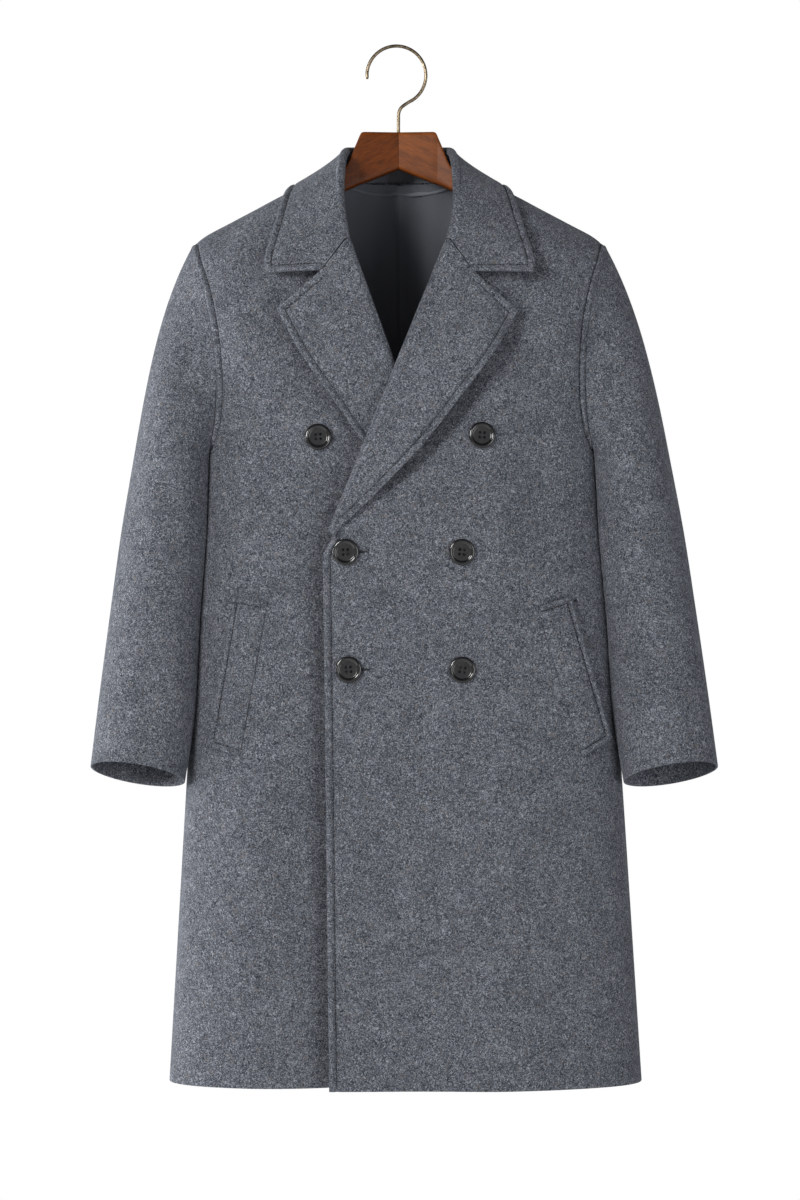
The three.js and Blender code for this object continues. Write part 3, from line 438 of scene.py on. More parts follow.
def stitched(distance, inset=STITCH_INSET, puff=1.0):
    """Relief beside a stitched edge: a soft welt along the edge and a groove under the stitches."""
    groove = -GROOVE_DEPTH * np.exp(-(((distance - inset) / GROOVE_HALF) ** 2))
    return groove + puff * np.exp(-(((distance - PUFF_PLACE * inset) / PUFF_HALF) ** 2))


def row_crossings(grid, distance, level, backwards=False):
    """On each row, the first place from its start (or its end) where the distance passes a level."""
    found = []
    for line, far in zip(grid, distance):
        if backwards:
            line, far = line[::-1], far[::-1]
        below = np.nonzero((far[:-1] < level) & (far[1:] >= level))[0]
        if len(below) and far[0] < level:
            k = below[0]
            t = (level - far[k]) / (far[k + 1] - far[k])
            found.append(mix(line[k], line[k + 1], t))
    return np.array(found)


# Seam lines
def armhole(face, side, count):
    """Turns and angles down an armhole, from the shoulder to the underarm."""
    table = np.array(ARMHOLE[face], float)
    width, _, _, lean = form_columns(table[:, 1])
    turn = turn_of(np.minimum(table[:, 0] / width, 1 - SEAM_TURN))
    turn[-1] = 1 - SEAM_TURN
    angle = seen_at(face, lean + side * table[:, 0], table[:, 1])[1]
    angle[0] = 0
    smooth = curve_of(np.stack([np.arange(len(table)), side * turn, angle], 1))
    fine = np.linspace(0, len(table) - 1, ARMHOLE_SAMPLES * (len(table) - 1) + 1)
    at = spaced_places(form_point(*smooth(fine).T), count, SHOULDER_CROWDING)
    turn, angle = smooth(np.interp(at, np.arange(len(fine)), fine)).T
    return turn, face * np.maximum(SEAM_ANGLE, np.abs(angle))


def panel_rows(face, start, end, shares, level):
    """Rows of a panel, slung from the shoulder where level is 0 and straight where it is 1."""
    z_start = form_point(*start)[..., 2][:, None]
    z_end = form_point(*end)[..., 2][:, None]
    turn = mix(start[0][:, None], end[0][:, None], shares)
    slung = mix(np.abs(start[1])[:, None], np.abs(end[1])[:, None], shares)
    level = level[:, None]
    wanted = mix(form_point(turn, face * slung)[..., 2], mix(z_start, z_end, shares), level)
    straight = angle_of(shoulder_z(form_columns(wanted)[0] * section_at(turn)[0]) - wanted)
    return turn, face * np.maximum(SEAM_ANGLE, mix(slung, straight, level))


def neck_turn(x, angle):
    """The turn at x from the middle and an angle from the shoulder line."""
    return turn_of(x / form_columns(shoulder_z(x) - drop_of(angle))[0])


def neck_place_at(z):
    """Place along the half neckline, in front of the neck point, at a height."""
    low = np.zeros(np.shape(z))
    high = np.full(np.shape(z), NECK_POINT)
    for _ in range(NECK_HALVINGS):
        middle = (low + high) / 2
        x, angle = np.moveaxis(NECKLINE(middle), -1, 0)
        above = shoulder_z(x) - drop_of(angle) > z
        high = np.where(above, middle, high)
        low = np.where(above, low, middle)
    return low


def fold_frame(front):
    """Length of a front's fold, with the ways down it and out from it."""
    d = front["break"] - front["gorge"]
    length = np.hypot(*d)
    side = front["side"]
    return length, d / length, np.array([-side * d[1], side * d[0]]) / length


def fold_spot(front, down, out):
    """x and z of a place down a front's fold and out from it."""
    _, way_down, way_out = fold_frame(front)
    return (
        front["gorge"][0] + way_down[0] * down + way_out[0] * out,
        front["gorge"][1] + way_down[1] * down + way_out[1] * out,
    )


FOLD_RADIUS = 3.3
FOLD_REACH = FOLD_RADIUS + LEAF_WALL / 2
PANEL_FROM_FOLD = FOLD_REACH + 2.7
FOLD_BASE = -COAT_WALL / 2
FOLD_TOP = FOLD_BASE + 2 * FOLD_RADIUS
LEAF_REST = LAYER_GAP + LEAF_WALL / 2
LEAF_LOFT = 3.4
FOLD_TURNS = np.linspace(-1, 0.9, 9)
FACING_REACH = 2.4
LAPEL_STAND_OFF = {1: 11.0, -1: 4.5}
COLLAR_STAND_OFF = {1: 9.0, -1: 6.0}
HIDDEN_LOFT = 0.3
STAND_OFF_WIDTH = 16.0
STAND_OFF_REACH = 50.0
STAND_OFF_POWER = 1.5
STAND_OFF_TOP = 0.15
LOFT_WIDTH = 60.0
NOTCH_BEND = 4.0


def front_inner(front, z):
    """x of a front's free edge: down the neckline, inside the lapel's fold, then the front edge."""
    z = np.asarray(z, float)
    side, gorge, turn_point = front["side"], front["gorge"], front["break"]
    beside = side * PANEL_FROM_FOLD / abs(fold_frame(front)[2][0])

    def fold_edge(t):
        return mix(gorge[0], turn_point[0], t) + beside

    (top_x, top_z), (hem_x, hem_z) = front["edge_top"], front["edge_hem"]
    neck_x = form_columns(z)[3] + side * NECKLINE(neck_place_at(z))[..., 0]
    in_neck = mix(neck_x, fold_edge(0), ease((z - NECK_END_Z) / (gorge[1] - NECK_END_Z)))
    in_fold = fold_edge((z - gorge[1]) / (turn_point[1] - gorge[1]))
    at_break = mix(fold_edge(1), top_x, (z - turn_point[1]) / (top_z - turn_point[1]))
    below = mix(top_x, hem_x, (z - top_z) / (hem_z - top_z))
    return np.select([z > gorge[1], z > turn_point[1], z > top_z], [in_neck, in_fold, at_break], below)


def front_lift(front, x, z):
    """Height of a front over the body form: the overlap, and the soft folds in which the cloth hangs."""
    x, z = np.asarray(x, float), np.asarray(z, float)
    if front["side"] < 0:
        beside = np.clip((x - UNDER_FALL_START) / UNDER_FALL_REACH, 0, 1)
        return -UNDER_FALL * sunk(z, *UNDER_FALL_FADE) * beside**2
    lift = np.maximum(0, OVERLAP_LIFT(z)[..., 0])
    lift = lift * ease((OVERLAP_END_X - x) / (OVERLAP_END_X - OVERLAP_FULL_X))
    swell = sum(height * np.exp(-(((x - middle) / half) ** 2)) for height, middle, half in FRONT_SWELLS)
    return lift + sunk(z, *SWELL_FADE) * swell


def on_front(front, x, z, height):
    """A point at a height over a front, without the fall of its chest."""
    turn, angle = seen_at(-1, x, z)
    return off(turn, angle, front_lift(front, x, z) + height)


CHEST_FALL = 12.0
CHEST_REACH = 80.0
FOLD_CLEARANCE = 45.0
CHEST_END_Z = -560.0
CHEST_END_REACH = 110.0
LEAF_BORDER = {
    # wearer's side: z, x of the leaves' outer border
    1: curve_of([
        [-548, -65], [-491, -6], [-409, 64], [-365, 98],
        [-308, 131], [-265, 143], [-222, 138], [-173, 122],
    ]),
    -1: curve_of([
        [-548, 20], [-454, -42], [-365, -103], [-331, -122],
        [-307, -136], [-262, -146], [-222, -138], [-173, -122],
    ]),
}


def chest_fall(front, x, z):
    """Depth by which a front falls back from the leaves that stand off it."""
    side, gorge, turn_point = front["side"], front["gorge"], front["break"]
    beside = side * (x - LEAF_BORDER[side](z)[..., 0])
    fold_x = mix(gorge[0], turn_point[0], (z - gorge[1]) / (turn_point[1] - gorge[1]))
    from_fold = side * (x - fold_x)
    near = (1 - np.clip(beside / CHEST_REACH, 0, 1)) ** 2 * ease(from_fold / FOLD_CLEARANCE)
    return CHEST_FALL * near * sunk(z, *CHEST_FADE) * ease((z - CHEST_END_Z) / CHEST_END_REACH)


def on_panel(front, x, z, height):
    """A point at a height over a front, with the fall of its chest."""
    x, z = np.asarray(x, float), np.asarray(z, float)
    return on_front(front, x, z, height - chest_fall(front, x, z))


# Body panels
ARM_ROWS = 70
SIDE_ROWS = 118
BACK_COLUMNS = 120
FRONT_COLUMNS = 44
LEAST_WIDTH = 120.0
NEAR_EDGE = np.array([0, 1.5, 3, 4.6, 5.8, 6.7, 7.5, 8.3, 9.2, 10.6, 12.6, 16])
SOFT_EDGE = np.array([0, 2, 4.5, 8])


def edge_shares(length, count, head, tail):
    """Shares of each row: at fixed distances from its start and its end, and even between."""
    length = np.asarray(length, float)[:, None]
    head = head[None] / length
    tail = 1 - tail[None, ::-1] / length
    between = mix(head[:, -1:], tail[:, :1], np.linspace(0, 1, count + 1)[None, 1:-1])
    return np.concatenate([head, between, tail], 1)


def line_shares(length, count, head, tail):
    """The same for a single row or column."""
    return edge_shares([length], count, np.asarray(head), np.asarray(tail))[0]


def back_places(cols, arm_rows, side_rows):
    """Turns and angles of the back, from the neckline and shoulders to the hem."""
    left = armhole(1, 1, arm_rows)
    right = armhole(1, -1, arm_rows)
    half = cols // 2
    neck_cols = half // 2
    x, angle = NECKLINE(mix(1, NECK_POINT, np.arange(neck_cols) / neck_cols)).T
    shoulder = np.linspace(0, 1, half - neck_cols + 1)
    half_turn = np.concatenate([neck_turn(x, angle), mix(neck_turn(NECK_POINT_X, 0), left[0][0], shoulder)])
    half_angle = np.concatenate([np.maximum(angle, SEAM_ANGLE), np.full(len(shoulder), SEAM_ANGLE)])
    top_turn = np.concatenate([-half_turn[:0:-1], half_turn])
    top_angle = np.concatenate([half_angle[:0:-1], half_angle])
    top_shares = 0.5 + top_turn / (2 * left[0][0])
    place = np.arange(arm_rows + 1) * ARMHOLE_UNITS / arm_rows
    fade = np.maximum(0, 1 - place / NECK_UNITS)[:, None]
    even = np.linspace(0, 1, cols + 1)
    shares = mix(even[None], top_shares[None], fade)
    turn, angle = panel_rows(1, right, left, shares, ease((place - 1) / ARMHOLE_UNITS))
    angle = np.hypot(angle, top_angle[None] * fade)
    turn[0], angle[0] = top_turn, top_angle
    if not side_rows:
        return turn, angle
    z = np.linspace(UNDERARM_Z, HEM_Z, side_rows + 1)[1:]
    width, _, _, lean = form_columns(z)
    ends = []
    for side in (-1, 1):
        ends.append((np.full(len(z), side * (1 - SEAM_TURN)), seen_at(1, lean + side * width, z)[1]))
    low = panel_rows(1, ends[0], ends[1], np.repeat(even[None], len(z), 0), np.ones(len(z)))
    return np.concatenate([turn, low[0]]), np.concatenate([angle, low[1]])


def front_places(front):
    """Turns and angles of a front, from the shoulder to the hem and from its free edge to the side."""
    side = front["side"]
    outer = armhole(-1, side, ARM_ROWS)
    place = np.arange(ARM_ROWS + 1) * ARMHOLE_UNITS / ARM_ROWS
    neck_z = float(form_point(side * neck_turn(NECK_POINT_X, 0), -SEAM_ANGLE)[2])
    gorge_z = front["gorge"][1]
    high = mix(neck_z, gorge_z, np.minimum(1, place / GORGE_UNIT) ** GORGE_CROWDING)
    low = mix(gorge_z, UNDERARM_Z + 1, (place - GORGE_UNIT) / (ARMHOLE_UNITS - GORGE_UNIT))
    z = np.where(place <= GORGE_UNIT, high, low)
    inner = seen_at(-1, front_inner(front, z), z)
    inner[0][0] = side * neck_turn(NECK_POINT_X, 0)
    inner[1][0] = -SEAM_ANGLE
    side_z = np.linspace(UNDERARM_Z, HEM_Z, SIDE_ROWS + 1)[1:]
    inner_z = mix(side_z, side_z + front["edge_hem"][1] - HEM_Z, sunk(side_z, *HEM_FADE))
    width, _, _, lean = form_columns(side_z)
    side_turn = np.full(len(side_z), side * (1 - SEAM_TURN))
    side_angle = seen_at(-1, lean + side * width, side_z)[1]
    below = seen_at(-1, front_inner(front, inner_z), inner_z)
    start = [np.concatenate([inner[k], below[k]]) for k in (0, 1)]
    end = [np.concatenate([outer[0], side_turn]), np.concatenate([outer[1], side_angle])]
    level = np.concatenate([ease((place - 2) / (ARMHOLE_UNITS - 2)), np.ones(len(side_z))])
    lines = form_point(*start), form_point(*end)
    middle = form_point((start[0] + end[0]) / 2, -np.maximum(np.abs(start[1]), np.abs(end[1])))
    length = np.linalg.norm(lines[0] - middle, axis=1) + np.linalg.norm(lines[1] - middle, axis=1)
    shares = edge_shares(np.maximum(length, LEAST_WIDTH), FRONT_COLUMNS, NEAR_EDGE, NEAR_EDGE)
    return panel_rows(-1, start, end, shares, level)


def panel_wall(name, turn, angle, lift, relief):
    """A wall on the body form. Its outer face stands off by lift, with a relief on top."""
    base = form_point(turn, angle)
    normal = form_normal(turn, angle)
    outer = base + normal * (lift + relief)[..., None]
    inner = base + normal * (lift - COAT_WALL)[..., None]
    return wall_piece(name, outer, inner, WOOL), outer


# Lapels and collar
GORGE_GAP = 0.45
NOTCH = {"down": 24.4, "out": 42.6}
TIP = {"down": 45.5, "out": 103.4}
NOTCH_SHARE = 3 / 7
INNER_COLUMNS = 18
OUTER_COLUMNS = 18
LEAF_COLUMNS = INNER_COLUMNS + OUTER_COLUMNS + len(NEAR_EDGE)
EDGE_ROOM = 0.6
LAPEL_FOLD_END = 0.975
LAPEL_EDGE_END = 0.985
LAPEL_WIDTH = curve_of([
    # share of the way down the fold, width from the fold
    [0.127, 103.4],
    [0.217, 98.4],
    [0.309, 92.5],
    [0.456, 78.5],
    [0.6, 64.5],
    [0.745, 44.3],
    [0.88, 23.5],
    [0.95, 12],
    [1, 8],
])
COLLAR_STATIONS = curve_of([
    # place, fold x y z, leaf edge x, leaf edge angle, leaf edge height, bow
    [0, 56, -88, -228, 145, -1.17, 4.4, 0],
    [0.1, 60.5, -82, -203, 147.5, -1.07, 4.4, 1],
    [0.22, 64.5, -68, -172, 143.5, -0.9, 4, 1.5],
    [0.36, 64.5, -43, -141, 134.5, -0.62, 3.3, -1],
    [NECK_POINT, 61, -2, -120, 122.5, -0.06, 2.9, -4],
    [0.66, 53, 30, -114, 109, 0.5, 2.9, -3],
    [0.8, 36, 55, -111.5, 84, 0.78, 3, 0],
    [0.92, 14, 67, -110.5, 34, 0.99, 3.2, 2],
    [1, 0, 69, -110.5, 0, 1.02, 3.2, 3],
])
# Places along the half collar by which it has left the gorge, stands upright, has lost its
# stand-off and lies without loft
GORGE_END = 0.14
UPRIGHT = 0.36
STAND_OFF_END = 0.3
LOFT_END = 0.42
STAND_COLUMNS = 7
FOLD_COLUMNS = 10
FOOT_RISE = 4.5
BAND_PLACE = 0.55
BAND_DROP = -0.2


def leaf_height(share, loft):
    """Height of a leaf's middle at a share of its width."""
    rise = np.sin(math.pi * np.minimum(1, 0.25 + 0.6 * share))
    return mix(FOLD_TOP, LEAF_REST, ease(share)) + loft * rise


def leaf_shares(width):
    """Shares across leaves of those widths, a row each, at fixed distances from the outer edge."""
    width = np.asarray(width, float).reshape(-1, 1)
    inner = np.repeat(np.linspace(0, NOTCH_SHARE, INNER_COLUMNS + 1)[None], len(width), 0)
    shrink = np.minimum(1, EDGE_ROOM * (1 - NOTCH_SHARE) * width / NEAR_EDGE[-1])
    outer = 1 - shrink * NEAR_EDGE[None, ::-1] / width
    between = mix(NOTCH_SHARE, outer[:, :1], np.linspace(0, 1, OUTER_COLUMNS + 1)[None, 1:-1])
    return np.concatenate([inner, between, outer], 1)


def lapel_middle(front, rows):
    """The middle of a lapel's cloth: behind the fold, round it and across the leaf."""
    length = fold_frame(front)[0]
    t = rows[:, None]
    fold_down = mix(GORGE_GAP, length * LAPEL_FOLD_END, t)
    edge_down = mix(TIP["down"] + GORGE_GAP, length * LAPEL_EDGE_END, t)
    width = LAPEL_WIDTH(edge_down / length)[..., 0]
    start = FOLD_REACH / width
    under = front["side"] < 0
    hidden = sunk(fold_spot(front, fold_down, 0)[1], *HIDDEN_FADE) if under else np.zeros(t.shape)
    loft = mix(LEAF_LOFT, HIDDEN_LOFT, hidden) * ease(width / LOFT_WIDTH)
    wide = ease((width - STAND_OFF_WIDTH) / STAND_OFF_REACH)
    stand_off = LAPEL_STAND_OFF[front["side"]] * (1 - hidden) * wide * ease(t / STAND_OFF_TOP)
    share = leaf_shares(width)
    across = mix(start, 1, share)
    plain = mix(fold_down, edge_down, across), width * across
    to_notch = np.minimum(1, share / NOTCH_SHARE)
    to_tip = np.maximum(0, (share - NOTCH_SHARE) / (1 - NOTCH_SHARE))
    notch_down, notch_out = NOTCH["down"] + GORGE_GAP, NOTCH["out"]
    cut_down = np.where(
        share < NOTCH_SHARE,
        mix(fold_down + start * NOTCH["down"], notch_down, to_notch),
        mix(notch_down, edge_down, to_tip),
    )
    cut_out = np.where(
        share < NOTCH_SHARE,
        mix(FOLD_REACH, notch_out, to_notch),
        mix(notch_out, width, to_tip),
    )
    bend = np.maximum(0, 1 - NOTCH_BEND * t) ** 2
    down = mix(plain[0], cut_down, bend)
    out = mix(plain[1], cut_out, bend)
    turns = FOLD_TURNS[None] * QUARTER
    roll_out = FOLD_REACH - FOLD_RADIUS * np.cos(turns)
    roll_height = FOLD_BASE + FOLD_RADIUS * (1 + np.sin(turns))
    wrap_out = np.concatenate([[[FOLD_REACH + FACING_REACH]], roll_out], 1)
    wrap_height = np.concatenate([[[FOLD_BASE]], roll_height], 1)
    wrap_down = np.repeat(fold_down, wrap_out.shape[1], 1)
    wrap_out = np.repeat(wrap_out, len(rows), 0)
    wrap_height = np.repeat(wrap_height, len(rows), 0)
    all_down = np.concatenate([wrap_down, down], 1)
    all_out = np.concatenate([wrap_out, out], 1)
    leaf = leaf_height(across, loft) + stand_off * ease(across) ** STAND_OFF_POWER
    all_height = np.concatenate([wrap_height, leaf], 1)
    x, z = fold_spot(front, all_down, all_out)
    return on_front(front, x, z, all_height)


def collar_fold(place, side):
    """The collar's fold: its seam, the centre of its turn, and the ways up and out of it."""
    front = LEFT if side > 0 else RIGHT
    fold_x, fold_y, fold_z, leaf_x, leaf_angle, leaf_off, bow = COLLAR_STATIONS(place).T
    lean = form_columns(fold_z)[3]
    x, z = fold_spot(front, -GORGE_GAP, FOLD_REACH - FOLD_RADIUS)
    at_gorge = on_front(front, x, z, FOLD_BASE + FOLD_RADIUS)
    free = np.stack([lean + side * fold_x, fold_y, fold_z], -1)
    fold = mix(free, at_gorge, 1 - ease(place / GORGE_END)[:, None])
    neck_x, neck_angle = NECKLINE(place).T
    neck_z = shoulder_z(neck_x) - drop_of(neck_angle)
    ahead = seen_at(-1, front_inner(front, neck_z), neck_z)
    behind = side * neck_turn(neck_x, neck_angle), neck_angle
    turn, angle = [np.where(neck_angle < 0, a, b) for a, b in zip(ahead, behind)]
    seam = off(turn, angle, np.full(len(place), FOLD_BASE))
    leaf = off(side * neck_turn(leaf_x, leaf_angle), leaf_angle, leaf_off)
    flat = unit((leaf - fold) * np.array([1, 1, 0]))
    upright = ease(place / UPRIGHT)[:, None]
    out = unit(mix(form_normal(*seen_at(-1, fold[:, 0], fold[:, 2])), flat, upright))
    fall = unit(leaf - fold)
    up = -unit(fall - out * dot(fall, out))
    stand = np.linalg.norm(fold - seam, axis=1, keepdims=True)
    radius = np.minimum(FOLD_RADIUS, 0.3 * stand + 0.9)
    centre = fold - up * radius
    foot = seam + unit(fold - seam) * (SEAM_GAP + FOOT_RISE)
    return {"foot": foot, "centre": centre, "radius": radius, "up": up, "out": out, "leaf": leaf, "bow": bow}


def turned(fold, quarter):
    """Points round the collar's fold, from -1 inside over 0 at its top to 1 outside."""
    out, up = fold["out"] * fold["radius"], fold["up"] * fold["radius"]
    return fold["centre"] + out * math.sin(quarter * QUARTER) + up * math.cos(quarter * QUARTER)


def collar_middle(places, side):
    """The middle of half the collar's cloth: up the stand, over the fold and down the leaf."""
    front = LEFT if side > 0 else RIGHT
    fold = collar_fold(places, side)
    columns = [mix(fold["foot"], turned(fold, -1), t) for t in np.linspace(0, 1, STAND_COLUMNS)[:-1]]
    columns += [turned(fold, quarter) for quarter in np.linspace(-1, 0.8, FOLD_COLUMNS)]
    end = {key: value[0] for key, value in collar_fold(np.array([0.0]), side).items()}
    x, z = fold_spot(front, NOTCH["down"] - GORGE_GAP, NOTCH["out"])
    notch = on_front(front, x, z, leaf_height(NOTCH_SHARE, LEAF_LOFT))
    bend = notch - mix(end["centre"] + end["out"] * end["radius"], end["leaf"], NOTCH_SHARE)
    start = turned(fold, 1)
    bow = fold["bow"][:, None]
    fade = (1 - ease(places / STAND_OFF_END))[:, None]
    loft = LEAF_LOFT * (1 - ease(places / LOFT_END))[:, None]
    for share in leaf_shares(np.linalg.norm(fold["leaf"] - start, axis=1)).T[..., None]:
        tent = np.where(share < NOTCH_SHARE, share / NOTCH_SHARE, (1 - share) / (1 - NOTCH_SHARE))
        bowed = mix(start, fold["leaf"], share) + fold["out"] * bow * np.sin(math.pi * share**0.8)
        p = bowed + bend * tent * fade
        height, normal = over(p)
        stand_off = COLLAR_STAND_OFF[side] * fade * ease(share) ** STAND_OFF_POWER
        least = leaf_height(share, loft) + stand_off
        p = p + normal * np.maximum(0, least - height)
        columns.append(p)
    return np.stack(columns, 1)


def both_halves(section, places):
    """Rows from the wearer's left over the middle of the back to the right."""
    left, right = section(places, 1), section(places, -1)
    return np.concatenate([left, right[:-1][::-1]])


# Sleeves
SLEEVE_FORM = curve_of([
    # share of the way from the underarm to the cuff, outer x, inner x, y of the middle, half depth, tilt
    [0, 303, 212, -9, 73, 4],
    [0.26, 319, 216.5, -16, 69, 7],
    [0.51, 331.3, 227, -26, 62, 11],
    [0.77, 343.3, 234.5, -38, 54, 15],
    [1, 353, 246.8, -51, 46, 17.5],
])
SLEEVE_TOP_Z = -470.0
CUFF_Z = -828.0
SLEEVE_SLANT = 0.15
SLEEVE_CLEARANCE = 1.6
UNDERARM_TURN = 0.5
UNDERARM_REACH = 0.3
UNDERARM_BLEND = 0.25
UNDERARM_LIFT = 0.7
CAP_ROLL = 0.12
CAP_FALL = 0.8
UNDERARM_FALL = 3.0
SLEEVE_UNITS = 28
SLEEVE_AROUND = SLEEVE_UNITS * 5
CAP_ROWS = 40
TUBE_ROWS = 70
CUFF_TURN_UP = 45.0
END_STEP = 0.04
FACING_IN = 0.7


def clear_of_body(p, side, weight):
    """Points moved sideways until they clear the body, by a weight."""
    lean = form_columns(p[..., 2])[3]
    short = half_width_beside(p) + SLEEVE_CLEARANCE - side * (p[..., 0] - lean)
    moved = p.copy()
    moved[..., 0] += side * np.maximum(0, short) * weight
    return moved


def sleeve_ring(side, share, turn):
    """Points of a sleeve's ring, by the turn from its outer side by the front."""
    share, turn = np.broadcast_arrays(np.asarray(share, float), turn)
    z = mix(SLEEVE_TOP_Z, CUFF_Z, share)
    outer_x, inner_x, middle_y, half_depth, tilt = np.moveaxis(SLEEVE_FORM(share), -1, 0)
    slope = np.radians(tilt)
    across = (outer_x - inner_x) / 2 * np.cos(2 * math.pi * turn)
    back = -half_depth * np.sin(2 * math.pi * turn)
    x = form_columns(z)[3] + side * ((outer_x + inner_x) / 2 + across)
    p = np.stack([x, middle_y + back * np.cos(slope), z + across * SLEEVE_SLANT - back * np.sin(slope)], -1)
    return clear_of_body(p, side, 1)


def sleeve_grid(side):
    """A sleeve's outer face all round, from the armhole to the cuff, and the way out at the armhole."""
    half = SLEEVE_AROUND // 2
    front, back = armhole(-1, side, half), armhole(1, side, half)
    places = [np.concatenate([front[k], back[k][:-1][::-1]])[:SLEEVE_AROUND] for k in (0, 1)]
    turn = np.arange(SLEEVE_AROUND) / SLEEVE_AROUND
    seam = form_point(*places)
    normal = form_normal(*places)
    along = np.roll(seam, -1, axis=0) - np.roll(seam, 1, axis=0)
    away = unit(np.cross(normal, along) * side)
    under = ease((UNDERARM_REACH - np.abs(turn - UNDERARM_TURN)) / UNDERARM_BLEND)[:, None]
    point = seam + away * SEAM_GAP * (1 - under) + normal * UNDERARM_LIFT * under
    fall = np.array([0, 0, -1.0]) * (CAP_FALL + UNDERARM_FALL * under)
    way = unit(away * (1 - under) + normal * CAP_ROLL + fall)
    top = sleeve_ring(side, 0, turn)
    end_way = unit(sleeve_ring(side, END_STEP, turn) - top)
    reach = np.linalg.norm(top - point, axis=1, keepdims=True)
    rows = []
    for t in np.linspace(0, 1, CAP_ROWS + 1):
        start, end, leave, arrive = bend_shares(t)
        p = point * start + top * end + way * leave * reach + end_way * arrive * reach
        rows.append(p if t == 0 else clear_of_body(p, side, under[:, 0]))
    for share in np.linspace(0, 1, TUBE_ROWS + 1)[1:]:
        rows.append(sleeve_ring(side, share, turn))
    return np.array(rows), away


def line_inside(piece, middle, inwards):
    """Lining on a sleeve's inner face, above the turned-up end of its cloth."""
    piece.data.materials.append(LINING)
    tree = KDTree(middle.shape[0] * middle.shape[1])
    for index, p in enumerate(in_metres(middle.reshape(-1, 3))):
        tree.insert(p, index)
    tree.balance()
    ways = inwards.reshape(-1, 3)
    cuff = middle[..., 2].min()
    for face in piece.data.polygons:
        spot, index, _ = tree.find(face.center)
        facing = face.normal.dot(ways[index])
        high = spot[2] * 1000 > cuff + CUFF_TURN_UP
        face.material_index = int(facing > FACING_IN and high)


def sleeve_piece(name, side, from_share, to_share):
    """One of a sleeve's two pieces, between two seams given as shares of a turn."""
    rows, away = sleeve_grid(side)
    begin = round(from_share * SLEEVE_AROUND)
    count = (round(to_share * SLEEVE_AROUND) - begin) % SLEEVE_AROUND
    wide = rows[:, np.arange(begin - 1, begin + count + 2) % SLEEVE_AROUND]
    picked_away = away[np.arange(begin, begin + count + 1) % SLEEVE_AROUND]
    normals = grid_normals(wide)[:, 1:-1] * side
    slip = np.minimum(0, dot(normals[0], picked_away))
    normals[0] = unit(normals[0] - picked_away * slip)
    outer = wide[:, 1:-1].copy()
    for edge, inside in ((0, 1), (-1, -2)):
        way = outer[:, inside] - outer[:, edge]
        outer[:, edge] += unit(way) * SEAM_GAP / 2
    piece = wall_piece(name, outer, outer + normals * SLEEVE_WALL, WOOL, rim=0.9)
    line_inside(piece, outer + normals * SLEEVE_WALL / 2, normals)
    return piece


# Materials
def set_inputs(node, values):
    for key, value in values.items():
        node.inputs[key].default_value = value


def add_node(tree, kind, values=None, **settings):
    node = tree.nodes.new(kind)
    for key, value in settings.items():
        setattr(node, key, value)
    set_inputs(node, values or {})
    return node


def join(tree, *pairs):
    for source, target in pairs:
        tree.links.new(source, target)


def maths(tree, operation, a, b):
    """A Math node of two values, each a number or a socket."""
    node = add_node(tree, "ShaderNodeMath", operation=operation)
    for place, value in enumerate((a, b)):
        if isinstance(value, (int, float)):
            node.inputs[place].default_value = value
        else:
            tree.links.new(value, node.inputs[place])
    return node.outputs[0]


def noise(tree, vector, scale, detail=2.0, roughness=0.5, distortion=0.0):
    values = {"Scale": scale, "Detail": detail, "Roughness": roughness, "Distortion": distortion}
    node = add_node(tree, "ShaderNodeTexNoise", values)
    tree.links.new(vector, node.inputs["Vector"])
    return node.outputs["Fac"]


def weighted(tree, *parts):
    """The sum of sockets, each multiplied by its weight."""
    total = None
    for value, weight in parts:
        share = maths(tree, "MULTIPLY", value, weight)
        total = share if total is None else maths(tree, "ADD", total, share)
    return total


def map_range(tree, value, values):
    """A value taken from one range to another, and held inside it."""
    node = add_node(tree, "ShaderNodeMapRange", values)
    tree.links.new(value, node.inputs["Value"])
    return node.outputs[0]


def object_place(tree):
    return add_node(tree, "ShaderNodeTexCoord").outputs["Object"]


def ramp(tree, factor, stops):
    """A colour ramp from (place, colour) stops."""
    node = add_node(tree, "ShaderNodeValToRGB")
    elements = node.color_ramp.elements
    while len(elements) < len(stops):
        elements.new(0.5)
    for element, (place, colour) in zip(elements, stops):
        element.position = place
        element.color = (*colour, 1) if len(colour) == 3 else colour
    tree.links.new(factor, node.inputs["Fac"])
    return node.outputs["Color"]


def blend_colours(tree, factor, a, b, mode="MIX"):
    node = add_node(tree, "ShaderNodeMix", data_type="RGBA", blend_type=mode)
    for socket, value in ((node.inputs[0], factor), (node.inputs[6], a), (node.inputs[7], b)):
        if isinstance(value, (int, float)):
            socket.default_value = value
        elif isinstance(value, tuple):
            socket.default_value = (*value, 1)
        else:
            tree.links.new(value, socket)
    return node.outputs[2]


def new_group(name, inputs, outputs):
    """An empty shader node group. Inputs are (kind, name, value), outputs are (kind, name)."""
    group = bpy.data.node_groups.new(name, "ShaderNodeTree")
    for kind, title, value in inputs:
        socket = group.interface.new_socket(name=title, in_out="INPUT", socket_type=f"NodeSocket{kind}")
        socket.default_value = value
    for kind, title in outputs:
        group.interface.new_socket(name=title, in_out="OUTPUT", socket_type=f"NodeSocket{kind}")
    start = group.nodes.new("NodeGroupInput")
    end = group.nodes.new("NodeGroupOutput")
    return group, start.outputs, end.inputs


